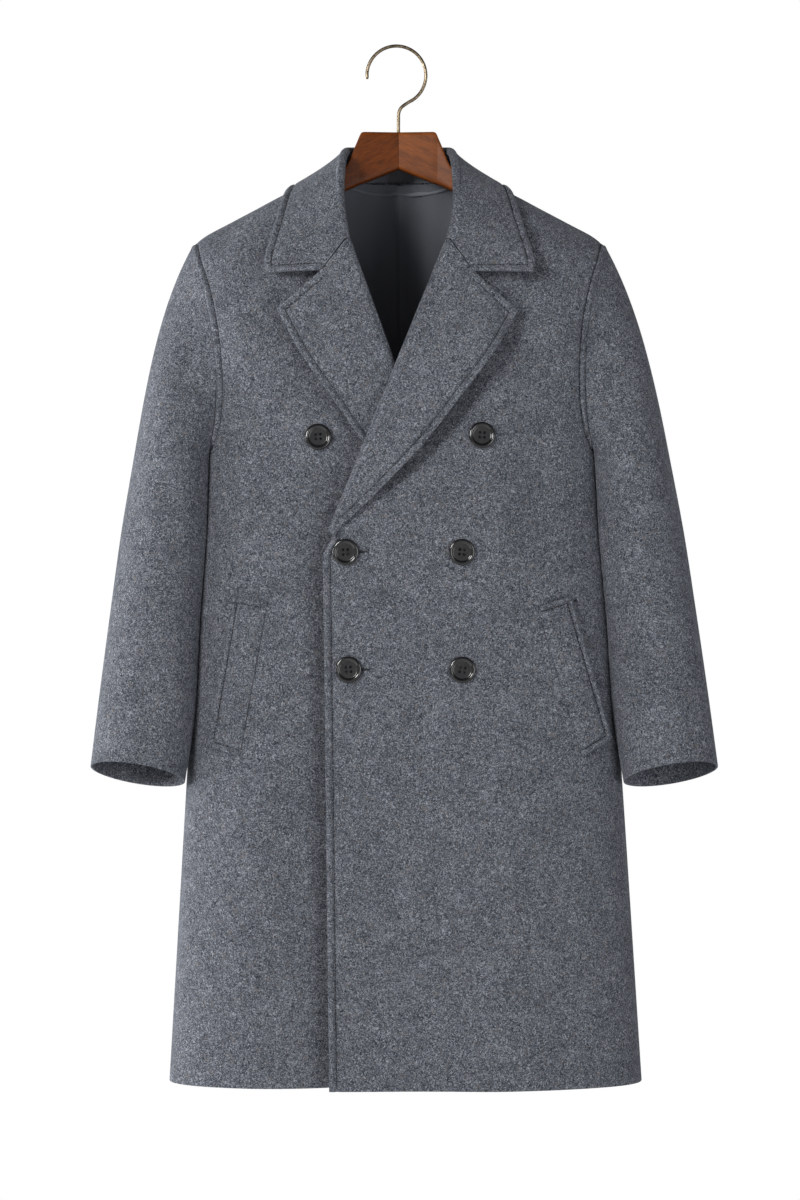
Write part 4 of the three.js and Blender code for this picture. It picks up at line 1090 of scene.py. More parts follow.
def melange_group():
    """Melton of mixed fibres: short curled light and dark fibres, with a soft nap."""
    group, given, out = new_group(
        "melange_melton",
        [
            ("Color", "Dark", (0.02, 0.02, 0.02, 1)),
            ("Color", "Middle", (0.1, 0.1, 0.1, 1)),
            ("Color", "Light", (0.3, 0.3, 0.3, 1)),
            ("Color", "Fleck", (0.2, 0.1, 0.05, 1)),
        ],
        [("Color", "Color"), ("Float", "Nap")],
    )
    place = object_place(group)
    curl = noise(group, place, scale=330, detail=2.0, roughness=0.6, distortion=2.2)
    fibre = noise(group, place, scale=900, detail=2.0, roughness=0.6, distortion=0.8)
    slow = noise(group, place, scale=34, detail=3.0, roughness=0.55)
    hue = noise(group, place, scale=190, detail=2.0, roughness=0.5, distortion=0.8)
    drift = maths(group, "SUBTRACT", slow, 0.5)
    tone = weighted(group, (curl, 0.62), (fibre, 0.38), (drift, 0.07))
    low = map_range(group, tone, {"From Min": 0.4, "From Max": 0.51})
    high = map_range(group, tone, {"From Min": 0.51, "From Max": 0.63})
    flecks = map_range(group, hue, {"From Min": 0.6, "From Max": 0.72})
    colour = blend_colours(group, low, given["Dark"], given["Middle"])
    colour = blend_colours(group, high, colour, given["Light"])
    colour = blend_colours(group, maths(group, "MULTIPLY", flecks, 0.45), colour, given["Fleck"])
    join(group, (colour, out["Color"]), (tone, out["Nap"]))
    return group


def twill_group():
    """Fine diagonal ribs of a lining cloth, with a slow change of tone."""
    group, given, out = new_group(
        "lining_twill",
        [("Color", "Ground", (0.02, 0.02, 0.02, 1)), ("Color", "Rib", (0.04, 0.04, 0.04, 1))],
        [("Color", "Color"), ("Float", "Ribs")],
    )
    place = object_place(group)
    wave = add_node(
        group,
        "ShaderNodeTexWave",
        {"Scale": 420.0, "Distortion": 1.2, "Detail": 2.0},
        wave_type="BANDS",
        bands_direction="DIAGONAL",
    )
    join(group, (place, wave.inputs["Vector"]))
    slow = noise(group, place, scale=22, detail=3.0)
    share = weighted(group, (wave.outputs["Fac"], 0.5), (slow, 0.6))
    colour = blend_colours(group, share, given["Ground"], given["Rib"])
    join(group, (colour, out["Color"]), (wave.outputs["Fac"], out["Ribs"]))
    return group


def wood_group():
    """Straight-grained hardwood: long streaks, fine pores and slow bands, turned by a slant."""
    group, given, out = new_group(
        "hanger_grain",
        [
            ("Float", "Slant", 0.0),
            ("Color", "Late wood", (0.1, 0.03, 0.01, 1)),
            ("Color", "Early wood", (0.3, 0.1, 0.04, 1)),
        ],
        [("Color", "Color"), ("Float", "Pores")],
    )
    place = object_place(group)
    turn = add_node(group, "ShaderNodeVectorRotate", rotation_type="Y_AXIS")
    along = add_node(group, "ShaderNodeMapping", {"Scale": (0.05, 1.0, 1.0)})
    join(
        group,
        (place, turn.inputs["Vector"]),
        (given["Slant"], turn.inputs["Angle"]),
        (turn.outputs[0], along.inputs["Vector"]),
    )
    streaks = noise(group, along.outputs[0], scale=620, detail=5.0, roughness=0.6, distortion=0.25)
    bands = noise(group, along.outputs[0], scale=120, detail=2.0, roughness=0.5, distortion=0.2)
    pores = noise(group, along.outputs[0], scale=1500, detail=2.0, roughness=0.5)
    share = weighted(group, (streaks, 0.6), (bands, 0.5))
    spread = map_range(group, share, {"From Min": 0.36, "From Max": 0.74})
    dark = map_range(group, pores, {"From Min": 0.62, "From Max": 0.75, "To Max": 0.55})
    colour = blend_colours(group, spread, given["Late wood"], given["Early wood"])
    colour = blend_colours(group, dark, colour, given["Late wood"])
    join(group, (colour, out["Color"]), (pores, out["Pores"]))
    return group


MELANGE = melange_group()
TWILL = twill_group()
WOOD = wood_group()


def new_material(name, values):
    """A material with its Principled shader set, and that shader's tree."""
    material = bpy.data.materials.new(name)
    material.use_nodes = True
    tree = material.node_tree
    shader = tree.nodes["Principled BSDF"]
    set_inputs(shader, values)
    return material, tree, shader


def place_group(tree, group, values=None):
    node = add_node(tree, "ShaderNodeGroup", node_tree=group)
    set_inputs(node, values or {})
    return node


def bump(tree, shader, height, distance, strength):
    node = add_node(tree, "ShaderNodeBump", {"Distance": distance, "Strength": strength})
    join(tree, (height, node.inputs["Height"]), (node.outputs["Normal"], shader.inputs["Normal"]))


def wool_cloth(name, depth=1.0):
    """Blue-grey melange melton. A depth below 1 darkens it: painted shade, as of a thread sunk in its
    groove.
    """
    material, tree, shader = new_material(
        name,
        {
            "Roughness": 0.95,
            "Specular IOR Level": 0.12,
            "Sheen Weight": 0.14,
            "Sheen Roughness": 0.5,
            "Sheen Tint": (0.75, 0.8, 0.9, 1),
        },
    )
    tones = {
        "Dark": (0.026, 0.03, 0.039),
        "Middle": (0.1, 0.108, 0.13),
        "Light": (0.325, 0.342, 0.385),
        "Fleck": (0.17, 0.15, 0.135),
    }
    cloth = place_group(tree, MELANGE, {key: (*(depth * c for c in tone), 1) for key, tone in tones.items()})
    join(tree, (cloth.outputs["Color"], shader.inputs["Base Color"]))
    bump(tree, shader, cloth.outputs["Nap"], distance=0.0012, strength=0.7)
    return material


def lining_cloth():
    material, tree, shader = new_material(
        "charcoal_lining", {"Roughness": 0.5, "Specular IOR Level": 0.35, "Sheen Weight": 0.1}
    )
    tones = {"Ground": (0.118, 0.128, 0.15, 1), "Rib": (0.17, 0.183, 0.214, 1)}
    cloth = place_group(tree, TWILL, tones)
    join(tree, (cloth.outputs["Color"], shader.inputs["Base Color"]))
    bump(tree, shader, cloth.outputs["Ribs"], distance=0.0002, strength=0.6)
    return material


def button_horn(name, dark, light, smooth, rough, coat):
    """Clouded black button stock, from a smooth to a rough polish."""
    material, tree, shader = new_material(
        name, {"Specular IOR Level": 0.4, "Coat Weight": coat, "Coat Roughness": 0.06}
    )
    cloud = noise(tree, object_place(tree), scale=160, detail=4.0, roughness=0.6, distortion=1.0)
    colour = ramp(tree, cloud, [(0.35, dark), (0.75, light)])
    polish = map_range(tree, cloud, {"To Min": smooth, "To Max": rough})
    join(tree, (colour, shader.inputs["Base Color"]), (polish, shader.inputs["Roughness"]))
    return material


def hanger_wood(name, slant, late, early):
    material, tree, shader = new_material(
        name, {"Roughness": 0.48, "Specular IOR Level": 0.2, "Coat Weight": 0.04, "Coat Roughness": 0.3}
    )
    tones = {"Slant": slant, "Late wood": (*late, 1), "Early wood": (*early, 1)}
    grain = place_group(tree, WOOD, tones)
    join(tree, (grain.outputs["Color"], shader.inputs["Base Color"]))
    bump(tree, shader, grain.outputs["Pores"], distance=0.0003, strength=0.35)
    return material


def antique_brass():
    material, tree, shader = new_material("antique_brass", {"Metallic": 1.0, "Roughness": 0.34})
    patina = noise(tree, object_place(tree), scale=240, detail=4.0, roughness=0.6)
    colour = ramp(tree, patina, [(0.35, (0.13, 0.1, 0.065)), (0.7, (0.36, 0.29, 0.2))])
    rough = map_range(tree, patina, {"To Min": 0.24, "To Max": 0.46})
    join(tree, (colour, shader.inputs["Base Color"]), (rough, shader.inputs["Roughness"]))
    return material


def black_thread():
    material, tree, shader = new_material("button_thread_and_slit_shade", {"Roughness": 0.7, "Sheen Weight": 0.2})
    ply = noise(tree, object_place(tree), scale=1500, detail=2.0)
    colour = ramp(tree, ply, [(0.3, (0.004, 0.004, 0.005)), (0.7, (0.02, 0.02, 0.022))])
    join(tree, (colour, shader.inputs["Base Color"]))
    return material


WOOL = wool_cloth("grey_melange_wool")
# The stitching thread is the wool darkened to a fifth: painted shade of the grooves and slits the stitches
# sink into.
SHADED_WOOL_THREAD = wool_cloth("wool_thread_painted_shade", 0.2)
LINING = lining_cloth()
HORN = button_horn("black_button", (0.003, 0.003, 0.004), (0.01, 0.011, 0.012), 0.12, 0.22, 1.0)
# The dish's lighter grey is painted reflection of the surroundings on its flat floor; the button itself is
# the same black stock.
DISH_REFLECTION = button_horn("button_dish_painted_reflection", (0.015, 0.0155, 0.016), (0.026, 0.027, 0.028), 0.3, 0.4, 0.0)
BRASS = antique_brass()
# Real black thread for the buttons' shanks, also laid in the buttonhole slits as painted shade of the
# opening.
THREAD_AND_SLIT_SHADE = black_thread()
WOOD_LEFT = hanger_wood("hanger_wood_left", -0.45, (0.112, 0.028, 0.004), (0.275, 0.072, 0.008))
WOOD_RIGHT = hanger_wood("hanger_wood_right", 0.45, (0.07, 0.016, 0.002), (0.195, 0.045, 0.004))


# Threads
def tube_points(line, normals, radius, sides):
    """Rings of points round a line. Radius may change along it."""
    way = unit(np.gradient(line, axis=0))
    side = unit(np.cross(way, normals))
    up = np.cross(side, way)
    turn = 2 * math.pi * np.arange(sides) / sides
    radius = np.broadcast_to(radius, (len(line),))[:, None, None]
    return (
        line[:, None]
        + side[:, None] * np.cos(turn)[None, :, None] * radius
        + up[:, None] * np.sin(turn)[None, :, None] * radius
    )


def tube_faces(rings, sides, first=0):
    """Faces of a tube of rings, closed at both ends."""
    faces = grid_faces(rings, sides, first, around=True).tolist()
    faces.append(list(range(first, first + sides)))
    faces.append(list(range(first + (rings - 1) * sides, first + rings * sides))[::-1])
    return faces


STITCH_PITCH = 3.6
STITCH_LENGTH = 3.0
STITCH_RADIUS = 0.5


class Threads:
    """Short stitches gathered into one mesh."""

    # Along a stitch: its places, its height over the cloth and its thickness
    SHAPE = np.array([-0.5, -0.36, -0.15, 0.15, 0.36, 0.5])
    DIP = np.array([-0.55, 0.02, 0.2, 0.2, 0.02, -0.55])
    THICK = np.array([0.5, 0.95, 1.0, 1.0, 0.95, 0.5])
    SIDES = 6

    def __init__(self):
        self.points = []
        self.faces = []
        self.count = 0

    def along(self, line, normals):
        """Running stitches along a line on the cloth."""
        steps = np.linalg.norm(np.diff(line, axis=0), axis=1)
        reach = np.concatenate([[0], np.cumsum(steps)])
        for k in range(int(reach[-1] / STITCH_PITCH)):
            at = (k + 0.5) * STITCH_PITCH + self.SHAPE * STITCH_LENGTH
            p = np.stack([np.interp(at, reach, line[:, i]) for i in range(3)], 1)
            n = unit(np.stack([np.interp(at, reach, normals[:, i]) for i in range(3)], 1))
            dip = self.DIP * STITCH_RADIUS * 1.8
            self.stitch(p + n * dip[:, None], n, STITCH_RADIUS * self.THICK)

    def stitch(self, line, normals, radius):
        """One stitch or thread along a line."""
        rings = tube_points(line, normals, radius, self.SIDES)
        self.faces.extend(tube_faces(len(line), self.SIDES, self.count))
        self.points.append(rings.reshape(-1, 3))
        self.count += rings.shape[0] * rings.shape[1]


def line_normals(line, grid, normals):
    """Normals of the grid's points nearest to a line's points."""
    flat, ways = grid.reshape(-1, 3), normals.reshape(-1, 3)
    return np.array([ways[np.argmin(((flat - p) ** 2).sum(1))] for p in line])


# Pieces of the body
BACK_DRAPE = {"height": 3.5, "folds": 9.0, "start": 0.7, "side": 0.25}
BAND = {"columns": 34, "crowding": 1.6, "top": 0.94, "bulge": 3.4}
BAND_ROLL = {"height": 1.1, "up": 0.05, "half": 0.035}
BAND_PUCKERS = [
    # height, turns along the band, start
    [0.35, 120, 0],
    [0.2, 71, 1],
]
BACK_LINING = {"columns": 160, "rows": 56, "clear": 0.26, "fall": 0.03, "narrow": 0.87}
PLEAT = {"height": 2.6, "start": -0.006, "edge": 0.004, "reach": 0.05}
LINING_FOLDS = [
    # height, folds, start, how soon they begin on the way down
    [0.9, 52, 0.6, 3],
    [0.6, 23, -1.1, 2],
]
topstitch = Threads()


def settle(piece, slot, *nodes):
    """The piece rides with the coat and stands for those nodes."""
    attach(piece, "root")
    if nodes:
        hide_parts(*nodes)


def settle_threads(name, threads, slot, material):
    """Gathered threads as a piece of their own."""
    points = in_metres(np.concatenate(threads.points))
    settle(add_object(name, points, threads.faces, material, turn_out=False), slot)


def stitch_beside(grid, distance, inset, outer, normals, backwards=False):
    """Running stitches where the rows of a part of an outer face pass a distance from their edge."""
    line = row_crossings(grid, distance, inset, backwards)
    topstitch.along(line, line_normals(line, outer, normals))


def make_back():
    """The back, with soft waves below the waist and stitches' grooves at the armholes."""
    turn, angle = back_places(BACK_COLUMNS, ARM_ROWS, SIDE_ROWS)
    base = form_point(turn, angle)
    left = nearest(base, base[: ARM_ROWS + 1, -1])
    right = nearest(base, base[: ARM_ROWS + 1, 0])
    relief = stitched(np.minimum(left, right), puff=ARMHOLE_PUFF)
    height = BACK_DRAPE["height"] * sunk(base[..., 2], *BACK_FADE)
    waves = np.sin(turn * BACK_DRAPE["folds"] + BACK_DRAPE["start"])
    lift = height * waves * ease((1 - np.abs(turn)) / BACK_DRAPE["side"])
    piece, _ = panel_wall("cloth_back", turn, angle, lift, relief)
    settle(piece, "wool", "back")


def make_front(name, front):
    """A front, stitched at its armhole, and the one on top at its edge as well."""
    turn, angle = front_places(front)
    base = form_point(turn, angle)
    lift = front_lift(front, base[..., 0], base[..., 2]) - chest_fall(front, base[..., 0], base[..., 2])
    arm = nearest(base, base[: ARM_ROWS + 1, -1])
    edge_rows = base[:, 0, 2] < front["break"][1] + 2
    edge = nearest(base, base[edge_rows, 0])
    relief = stitched(arm, puff=ARMHOLE_PUFF) + stitched(edge, FRONT_INSET)
    piece, outer = panel_wall(f"cloth_front_{name}", turn, angle, lift, relief)
    normals = form_normal(turn, angle)
    arm_rows = slice(ARM_ROWS + 1)
    stitch_beside(outer[arm_rows], arm[arm_rows], STITCH_INSET, outer, normals, backwards=True)
    if front["side"] > 0:
        stitch_beside(outer[edge_rows], edge[edge_rows], FRONT_INSET, outer, normals)
    settle(piece, "wool", f"front_{name}")


LAPEL_LENGTH = 345.0
LAPEL_ROWS = 64
COLLAR_HALF_LENGTH = 330.0
COLLAR_ROWS = 60
GORGE_ROWS = 40
NO_EDGE = 99.0
LEAF = slice(-LEAF_COLUMNS, None)
FROM_NOTCH = slice(INNER_COLUMNS - LEAF_COLUMNS, None)


def leaf_wall(name, middle, border, node):
    """A lapel or the collar about its cloth's middle, with a groove beside the border of its leaf.

    A probe near the leaf's edge tells which of its faces looks to the front.
    """
    edge = nearest(middle, border)
    edge[:, :-LEAF_COLUMNS] = NO_EDGE
    normals = grid_normals(middle)
    probe = normals[5, -5]
    if probe[1] > 0:
        normals = -normals
    outer = middle + normals * (LEAF_WALL / 2 + stitched(edge))[..., None]
    settle(wall_piece(name, outer, middle - normals * LEAF_WALL / 2, WOOL, rim=1.5), "wool", node)
    stitch_beside(outer[:, LEAF], edge[:, LEAF], STITCH_INSET, outer, normals, backwards=True)
    return outer, normals, edge


def make_lapel(name, front):
    """A lapel, stitched along its outer edge and its top."""
    rows = line_shares(LAPEL_LENGTH, LAPEL_ROWS, NEAR_EDGE, [0, 2, 4])
    middle = lapel_middle(front, rows)
    border = np.concatenate([middle[::-1, -1], middle[0, FROM_NOTCH][::-1]])
    outer, normals, edge = leaf_wall(f"cloth_lapel_{name}", middle, border, f"lapel_{name}")
    top = outer[:, FROM_NOTCH].transpose(1, 0, 2)
    stitch_beside(top, edge[:, FROM_NOTCH].T, STITCH_INSET, outer, normals)


def make_collar():
    """The collar, stitched along its outer edge and both its ends."""
    places = line_shares(COLLAR_HALF_LENGTH, COLLAR_ROWS, NEAR_EDGE, [0])
    middle = both_halves(collar_middle, places)
    ends = middle[0, FROM_NOTCH], middle[-1, FROM_NOTCH][::-1]
    border = np.concatenate([ends[0], middle[:, -1], ends[1]])
    outer, normals, edge = leaf_wall("cloth_collar", middle, border, "collar")
    for part, backwards in ((slice(GORGE_ROWS), False), (slice(-GORGE_ROWS, None), True)):
        end = outer[part, FROM_NOTCH].transpose(1, 0, 2)
        stitch_beside(end, edge[part, FROM_NOTCH].T, STITCH_INSET, outer, normals, backwards)


def lining_piece(name, outer, inner, node):
    """A thin wall of lining, with hardly rounded edges."""
    settle(wall_piece(name, outer, inner, LINING, rim=0.35), "lining", node)


def make_neck_band():
    """The dark band inside the collar's stand, a little puckered, with a roll along its lower edge."""
    inset = LEAF_WALL / 2 + LINING_GAP + LINING_WALL / 2
    up = BAND_DROP + (BAND["top"] - BAND_DROP) * np.linspace(0, 1, BAND["columns"]) ** BAND["crowding"]

    def strip(places, side):
        fold = collar_fold(places, side)
        top = fold["centre"] - fold["out"] * fold["radius"]
        rise = unit(top - fold["foot"])
        inwards = unit(rise * dot(fold["out"], rise) - fold["out"])
        pucker = sum(height * np.sin(places * turns + start) for height, turns, start in BAND_PUCKERS)
        columns = []
        for t in up:
            rolled = math.exp(-(((t - BAND_DROP - BAND_ROLL["up"]) / BAND_ROLL["half"]) ** 2))
            bulge = BAND["bulge"] * ease((0.5 - t) / 0.7) + BAND_ROLL["height"] * rolled
            soft = pucker * math.sin(math.pi * ease((t - BAND_DROP) / 1.2))
            columns.append(mix(fold["foot"], top, t) + inwards * (inset + bulge + soft[:, None]))
        return np.stack(columns, 1)

    middle = both_halves(strip, np.linspace(BAND_PLACE, 1, 90))
    normals = grid_normals(middle)
    half = normals * LINING_WALL / 2
    lining_piece("cloth_neck_band", middle + half, middle - half, "neck_band")


def make_lining():
    """The back's lining, with a pleat down its middle and soft folds beside it."""
    rows = BACK_LINING["rows"]
    turn, angle = back_places(BACK_LINING["columns"], rows, 0)
    place = np.arange(rows + 1) * ARMHOLE_UNITS / rows
    row = np.where(place <= 2, place, 2 + (place - 2) / 2)
    angle = np.maximum(angle, (BACK_LINING["clear"] + row * BACK_LINING["fall"])[:, None])
    turn = turn * BACK_LINING["narrow"]
    down = np.linspace(0, 1, len(place))[:, None]
    rise = ease((turn - PLEAT["start"]) / PLEAT["edge"])
    pleat = PLEAT["height"] * rise * ease((PLEAT["reach"] - turn) / PLEAT["reach"])
    pleat = pleat * (0.2 + 0.8 * ease(down * 9))
    folds = sum(
        height * np.sin(turn * count + start) * ease(down * soon)
        for height, count, start, soon in LINING_FOLDS
    )
    deep = COAT_WALL + mix(0.5, LINING_EASE, ease(down * 10)) + pleat + folds
    outer, inner = off(turn, angle, -deep), off(turn, angle, -deep - LINING_WALL)
    lining_piece("cloth_lining_back", outer, inner, "lining_back")


def make_sleeves():
    front_seam, back_seam = 10 / SLEEVE_UNITS, 20 / SLEEVE_UNITS
    for name, side in (("left", 1), ("right", -1)):
        for part, seams in (("top", (back_seam, front_seam)), ("under", (front_seam, back_seam))):
            piece = sleeve_piece(f"cloth_sleeve_{name}_{part}", side, *seams)
            settle(piece, "wool", f"sleeve_{name}_{part}")


# Pockets
WELT_WALL = 3.0
WELT_LENGTH = 172.0
WELT_WIDTH = 34.0
WELT_ROUND = 3.4
WELT_SEAM_DROP = 2.2
WELT_PUFF = 1.3
WELTS = {
    # top outer, top inner, bottom inner and bottom outer corners as x and z
    "left": (LEFT, [[188.5, -628], [152.5, -640], [202.2, -807.5], [232.5, -788]]),
    "right": (RIGHT, [[-184.5, -628.5], [-148.5, -634.5], [-179, -806.5], [-212, -795.5]]),
}


def make_welt(name, front, corners):
    """A pocket's welt, sewn down on its inner side and stitched on the other three."""
    corners = np.array(corners, float)
    down = line_shares(WELT_LENGTH, 26, NEAR_EDGE, NEAR_EDGE)[:, None, None]
    across = line_shares(WELT_WIDTH, 6, NEAR_EDGE[:9], SOFT_EDGE)[None, :, None]
    top_outer, top_inner, bottom_inner, bottom_outer = corners
    spots = mix(mix(top_outer, top_inner, across), mix(bottom_outer, bottom_inner, across), down)
    x, z = np.moveaxis(spots, -1, 0)
    flat = on_panel(front, x, z, 0)
    border = np.concatenate([flat[0][::-1], flat[:, 0], flat[-1]])
    edge = nearest(flat, border)
    sewn = nearest(flat, flat[:, -1])
    rounded = WELT_ROUND * ease(sewn / 30) - WELT_SEAM_DROP * ease(1 - sewn / 7)
    height = LAYER_GAP + WELT_WALL + rounded + stitched(edge, WELT_INSET, WELT_PUFF)
    outer = on_panel(front, x, z, height)
    inner = on_panel(front, x, z, LAYER_GAP)
    normals = form_normal(*seen_at(-1, x, z))
    stitch_beside(outer, edge, WELT_INSET, outer, normals)
    for backwards in (False, True):
        stitch_beside(outer.transpose(1, 0, 2), edge.T, WELT_INSET, outer, normals, backwards)
    settle(wall_piece(f"cloth_welt_{name}", outer, inner, WOOL), "wool", f"welt_{name}")


# Buttons
BUTTON_PROFILE = [
    # radius, height
    [8.9, 3.25], [9.7, 3.3], [10.3, 3.6], [10.9, 4.2], [11.7, 4.68], [12.6, 4.8], [13.5, 4.6],
    [14.2, 4.1], [14.7, 3.3], [14.8, 2.5], [14.5, 1.6], [13.7, 0.9], [12.2, 0.4], [9, 0.15],
]
BUTTON_GAP = 0.6
HOLE_RADIUS = 1.3
HOLE_SPREAD = 5.1
DISH_RADIUS = 9.4
DISH_FLOOR = 2.6
BUTTON_SIDES = 72
HOLE_SIDES = 20
HOLE_PROFILE = [
    # height, share of the hole's radius
    [-2, 1], [2.6, 1], [3.0, 1.15], [3.6, 1.6],
]
SHANK_RADIUS = 1.1
SHANK_HEIGHTS = [-0.7, 0.1, 0.9]
SHANK_LANES = [-1.2, 0, 1.2]
CRISP_BUTTON = 38
BUTTONS = [
    # name, x, z, front that carries it, turn of the holes in degrees
    ["upper_right", -91.5, -450.3, RIGHT, 4],
    ["upper_left", 90.1, -449.2, LEFT, -3],
    ["middle_right", -59.8, -578.6, LEFT, 2],
    ["middle_left", 68.1, -578.6, LEFT, -5],
    ["lower_right", -57, -709.2, LEFT, 6],
    ["lower_left", 69.2, -709.6, LEFT, -12],
]


def front_normal(front, x, z):
    """The way straight out of a front at a spot."""
    step = 8.0
    xs = np.array([x + step, x - step, x, x])
    zs = np.array([z, z, z + step, z - step])
    p = on_panel(front, xs, zs, 0)
    return unit(np.cross(p[0] - p[1], p[2] - p[3]))


def button_mesh():
    """A dished four-hole button about its own axis, in millimetres."""
    sides = BUTTON_SIDES
    turn = 2 * math.pi * np.arange(sides) / sides
    rings = np.array([[0.02, 3.15], [3, 3.15], [6, 3.18], *BUTTON_PROFILE, [4, 0.1], [0.02, 0.1]])
    circle = np.stack([np.cos(turn), np.sin(turn)], -1)
    spread = np.repeat(rings[:, None, :1], sides, 1) * circle[None]
    points = np.concatenate([spread, np.repeat(rings[:, None, 1:], sides, 1)], -1)
    return points.reshape(-1, 3), tube_faces(len(rings), sides)


def split_edges(piece, degrees):
    """Crisp edges where faces meet at more than an angle."""
    piece.modifiers.new("edges", "EDGE_SPLIT").split_angle = math.radians(degrees)


def drilled_button():
    """The button's mesh with its four holes cut."""
    button = add_object("button_blank", *button_mesh())
    drills = []
    turn = 2 * math.pi * np.arange(HOLE_SIDES) / HOLE_SIDES
    for sx, sy in ((1, 1), (1, -1), (-1, 1), (-1, -1)):
        rings = []
        for height, flare in HOLE_PROFILE:
            x = sx * HOLE_SPREAD / 2 + HOLE_RADIUS * flare * np.cos(turn)
            y = sy * HOLE_SPREAD / 2 + HOLE_RADIUS * flare * np.sin(turn)
            rings.append(np.stack([x, y, np.full(HOLE_SIDES, height)], -1))
        drill = add_object("drill", np.concatenate(rings), tube_faces(len(rings), HOLE_SIDES))
        cut = button.modifiers.new("cut", "BOOLEAN")
        cut.operation = "DIFFERENCE"
        cut.object = drill
        cut.solver = "EXACT"
        drills.append(drill)
    depsgraph = bpy.context.evaluated_depsgraph_get()
    mesh = bpy.data.meshes.new_from_object(button.evaluated_get(depsgraph))
    for thing in (button, *drills):
        bpy.data.objects.remove(thing)
    return mesh


def make_buttons():
    blank = drilled_button()
    shape = np.array([v.co[:] for v in blank.vertices])
    faces = [list(p.vertices) for p in blank.polygons]
    for name, x, z, front, spin in BUTTONS:
        out = front_normal(front, x, z)
        centre = on_panel(front, x, z, 0) + out * BUTTON_GAP
        across = unit(np.cross(np.array([0, 0, 1.0]), out))
        up = np.cross(out, across)
        a = math.radians(spin)
        right, top = across * math.cos(a) + up * math.sin(a), up * math.cos(a) - across * math.sin(a)
        points = centre + shape[:, :1] * right + shape[:, 1:2] * top + shape[:, 2:] * out
        piece = add_object(f"horn_button_{name}", in_metres(points), faces, HORN)
        piece.data.materials.append(DISH_REFLECTION)
        for face, spots in zip(piece.data.polygons, faces):
            around, high = np.hypot(*shape[spots, :2].mean(0)), shape[spots, 2].min()
            # Faces of the dish floor take the lighter material: painted reflection.
            face.material_index = int(around < DISH_RADIUS and high > DISH_FLOOR)
        split_edges(piece, CRISP_BUTTON)
        settle(piece, "button", f"button_{name}")
        threads = Threads()
        shank = np.array(SHANK_HEIGHTS)[:, None]
        for lane in SHANK_LANES:
            threads.stitch(centre + lane * right + shank * out, top, SHANK_RADIUS)
        settle_threads(f"thread_button_{name}", threads, "button", THREAD_AND_SLIT_SHADE)


BUTTONHOLES = [
    # name, x of the end that shows, z
    ["middle", -36.2, -578.6],
    ["lower", -33.0, -709.4],
]
HOLE_HALF_LENGTH = 15.5
HOLE_HALF_WIDTH = 0.95
BAR_HALF_LENGTH = 1.9
BAR_BEYOND = 1.1
# Height over the cloth and radius of each thread
PURL = (0.05, 0.45)
# The slit's thread is painted shade: a black tube laid where the opening only lies in shadow.
SLIT_SHADE = (-0.5, 0.85)
BAR = (0.35, 0.65)


def single_thread(name, x, z, normal, height, radius, material):
    """One thread laid on the wearer's left front."""
    threads = Threads()
    threads.stitch(on_front(LEFT, x, z, height), normal, radius)
    settle_threads(name, threads, "wool", material)


def make_buttonholes():
    """Worked slits in the overlapping front: a black thread as painted shade of the opening, with purled
    thread round it.
    """
    for name, end_x, z in BUTTONHOLES:
        centre_x = end_x - HOLE_HALF_LENGTH
        normal = front_normal(LEFT, centre_x, z)
        turn = np.linspace(0, 2 * math.pi, 60, endpoint=False)
        turn = np.concatenate([turn, turn[:2]])
        loop_x = centre_x + HOLE_HALF_LENGTH * np.sign(np.cos(turn)) * np.abs(np.cos(turn)) ** 0.5
        loop_z = z + HOLE_HALF_WIDTH * np.sin(turn)
        across = np.linspace(-HOLE_HALF_LENGTH, HOLE_HALF_LENGTH, 24)
        taper = np.sqrt(np.maximum(0.02, 1 - (across / HOLE_HALF_LENGTH) ** 4))
        bar_z = z + np.linspace(-BAR_HALF_LENGTH, BAR_HALF_LENGTH, 5)
        single_thread(f"thread_buttonhole_{name}", loop_x, loop_z, normal, *PURL, SHADED_WOOL_THREAD)
        slit = SLIT_SHADE[0], SLIT_SHADE[1] * taper
        # Black thread along the slit: painted shade of the opening.
        single_thread(f"slit_painted_shade_{name}", centre_x + across, z, normal, *slit, THREAD_AND_SLIT_SHADE)
        single_thread(f"thread_bar_{name}", end_x + BAR_BEYOND, bar_z, normal, *BAR, WOOL)


# Hanger and hook
HANGER_ARM = np.array([
    # x from the mitre, top z, bottom z, y of the middle, half thickness
    [0, -97.5, -139.6, 15, 8.5],
    [39.5, -97.7, -156.1, 9.2, 9],
    [42.3, -98.7, -156.9, 8.8, 9],
    [44, -101.6, -157.5, 8.6, 9],
    [58, -135.5, -164, 6, 10],
    [76, -150.5, -172, 3, 11],
    [100, -160.2, -183, 0, 12.5],
    [150, -186, -208.5, -4, 16],
    [205, -215, -238, -7, 19],
    [223, -229, -244, -8, 15],
])
HANGER_SIDES = 96
HANGER_PLACES = np.concatenate([
    [0, 1.2],
    np.linspace(3, 38, 20),
    np.linspace(39.5, 44, 8),
    np.linspace(45, 80, 30),
    np.linspace(82, 223, 80),
])
SQUARE_END = 0.26
ROUND_ARM = 0.72
ROUND_START = 70.0
ROUND_REACH = 60.0
CAP_BULGE = 1.5
CAP_STEPS = (0.3, 0.6, 0.85)
CRISP_WOOD = 40
CREST_GAP = 0.5
BESIDE_GAP = 1.7
GAP_REACH = 8.0
NECK_Z = -200.0
HOOK_SIDES = 28
HOOK_ARC_STEPS = 90
HOOK_STEPS = 260
HOOK_TIP = [0.55, 0.82, 0.95, 1.0]
HOOK_Y = 15.0
HOOK_WIRE = 1.9
HOOK_RADIUS = 33.7
HOOK_X = -4.1
STEM_X = -1.7
HOOK_TURNS = (187.0, -66.0)
STEM = [[3.4, -68.4], [0.4, -74.6], [0, -83], [0, -105], [0, -128]]


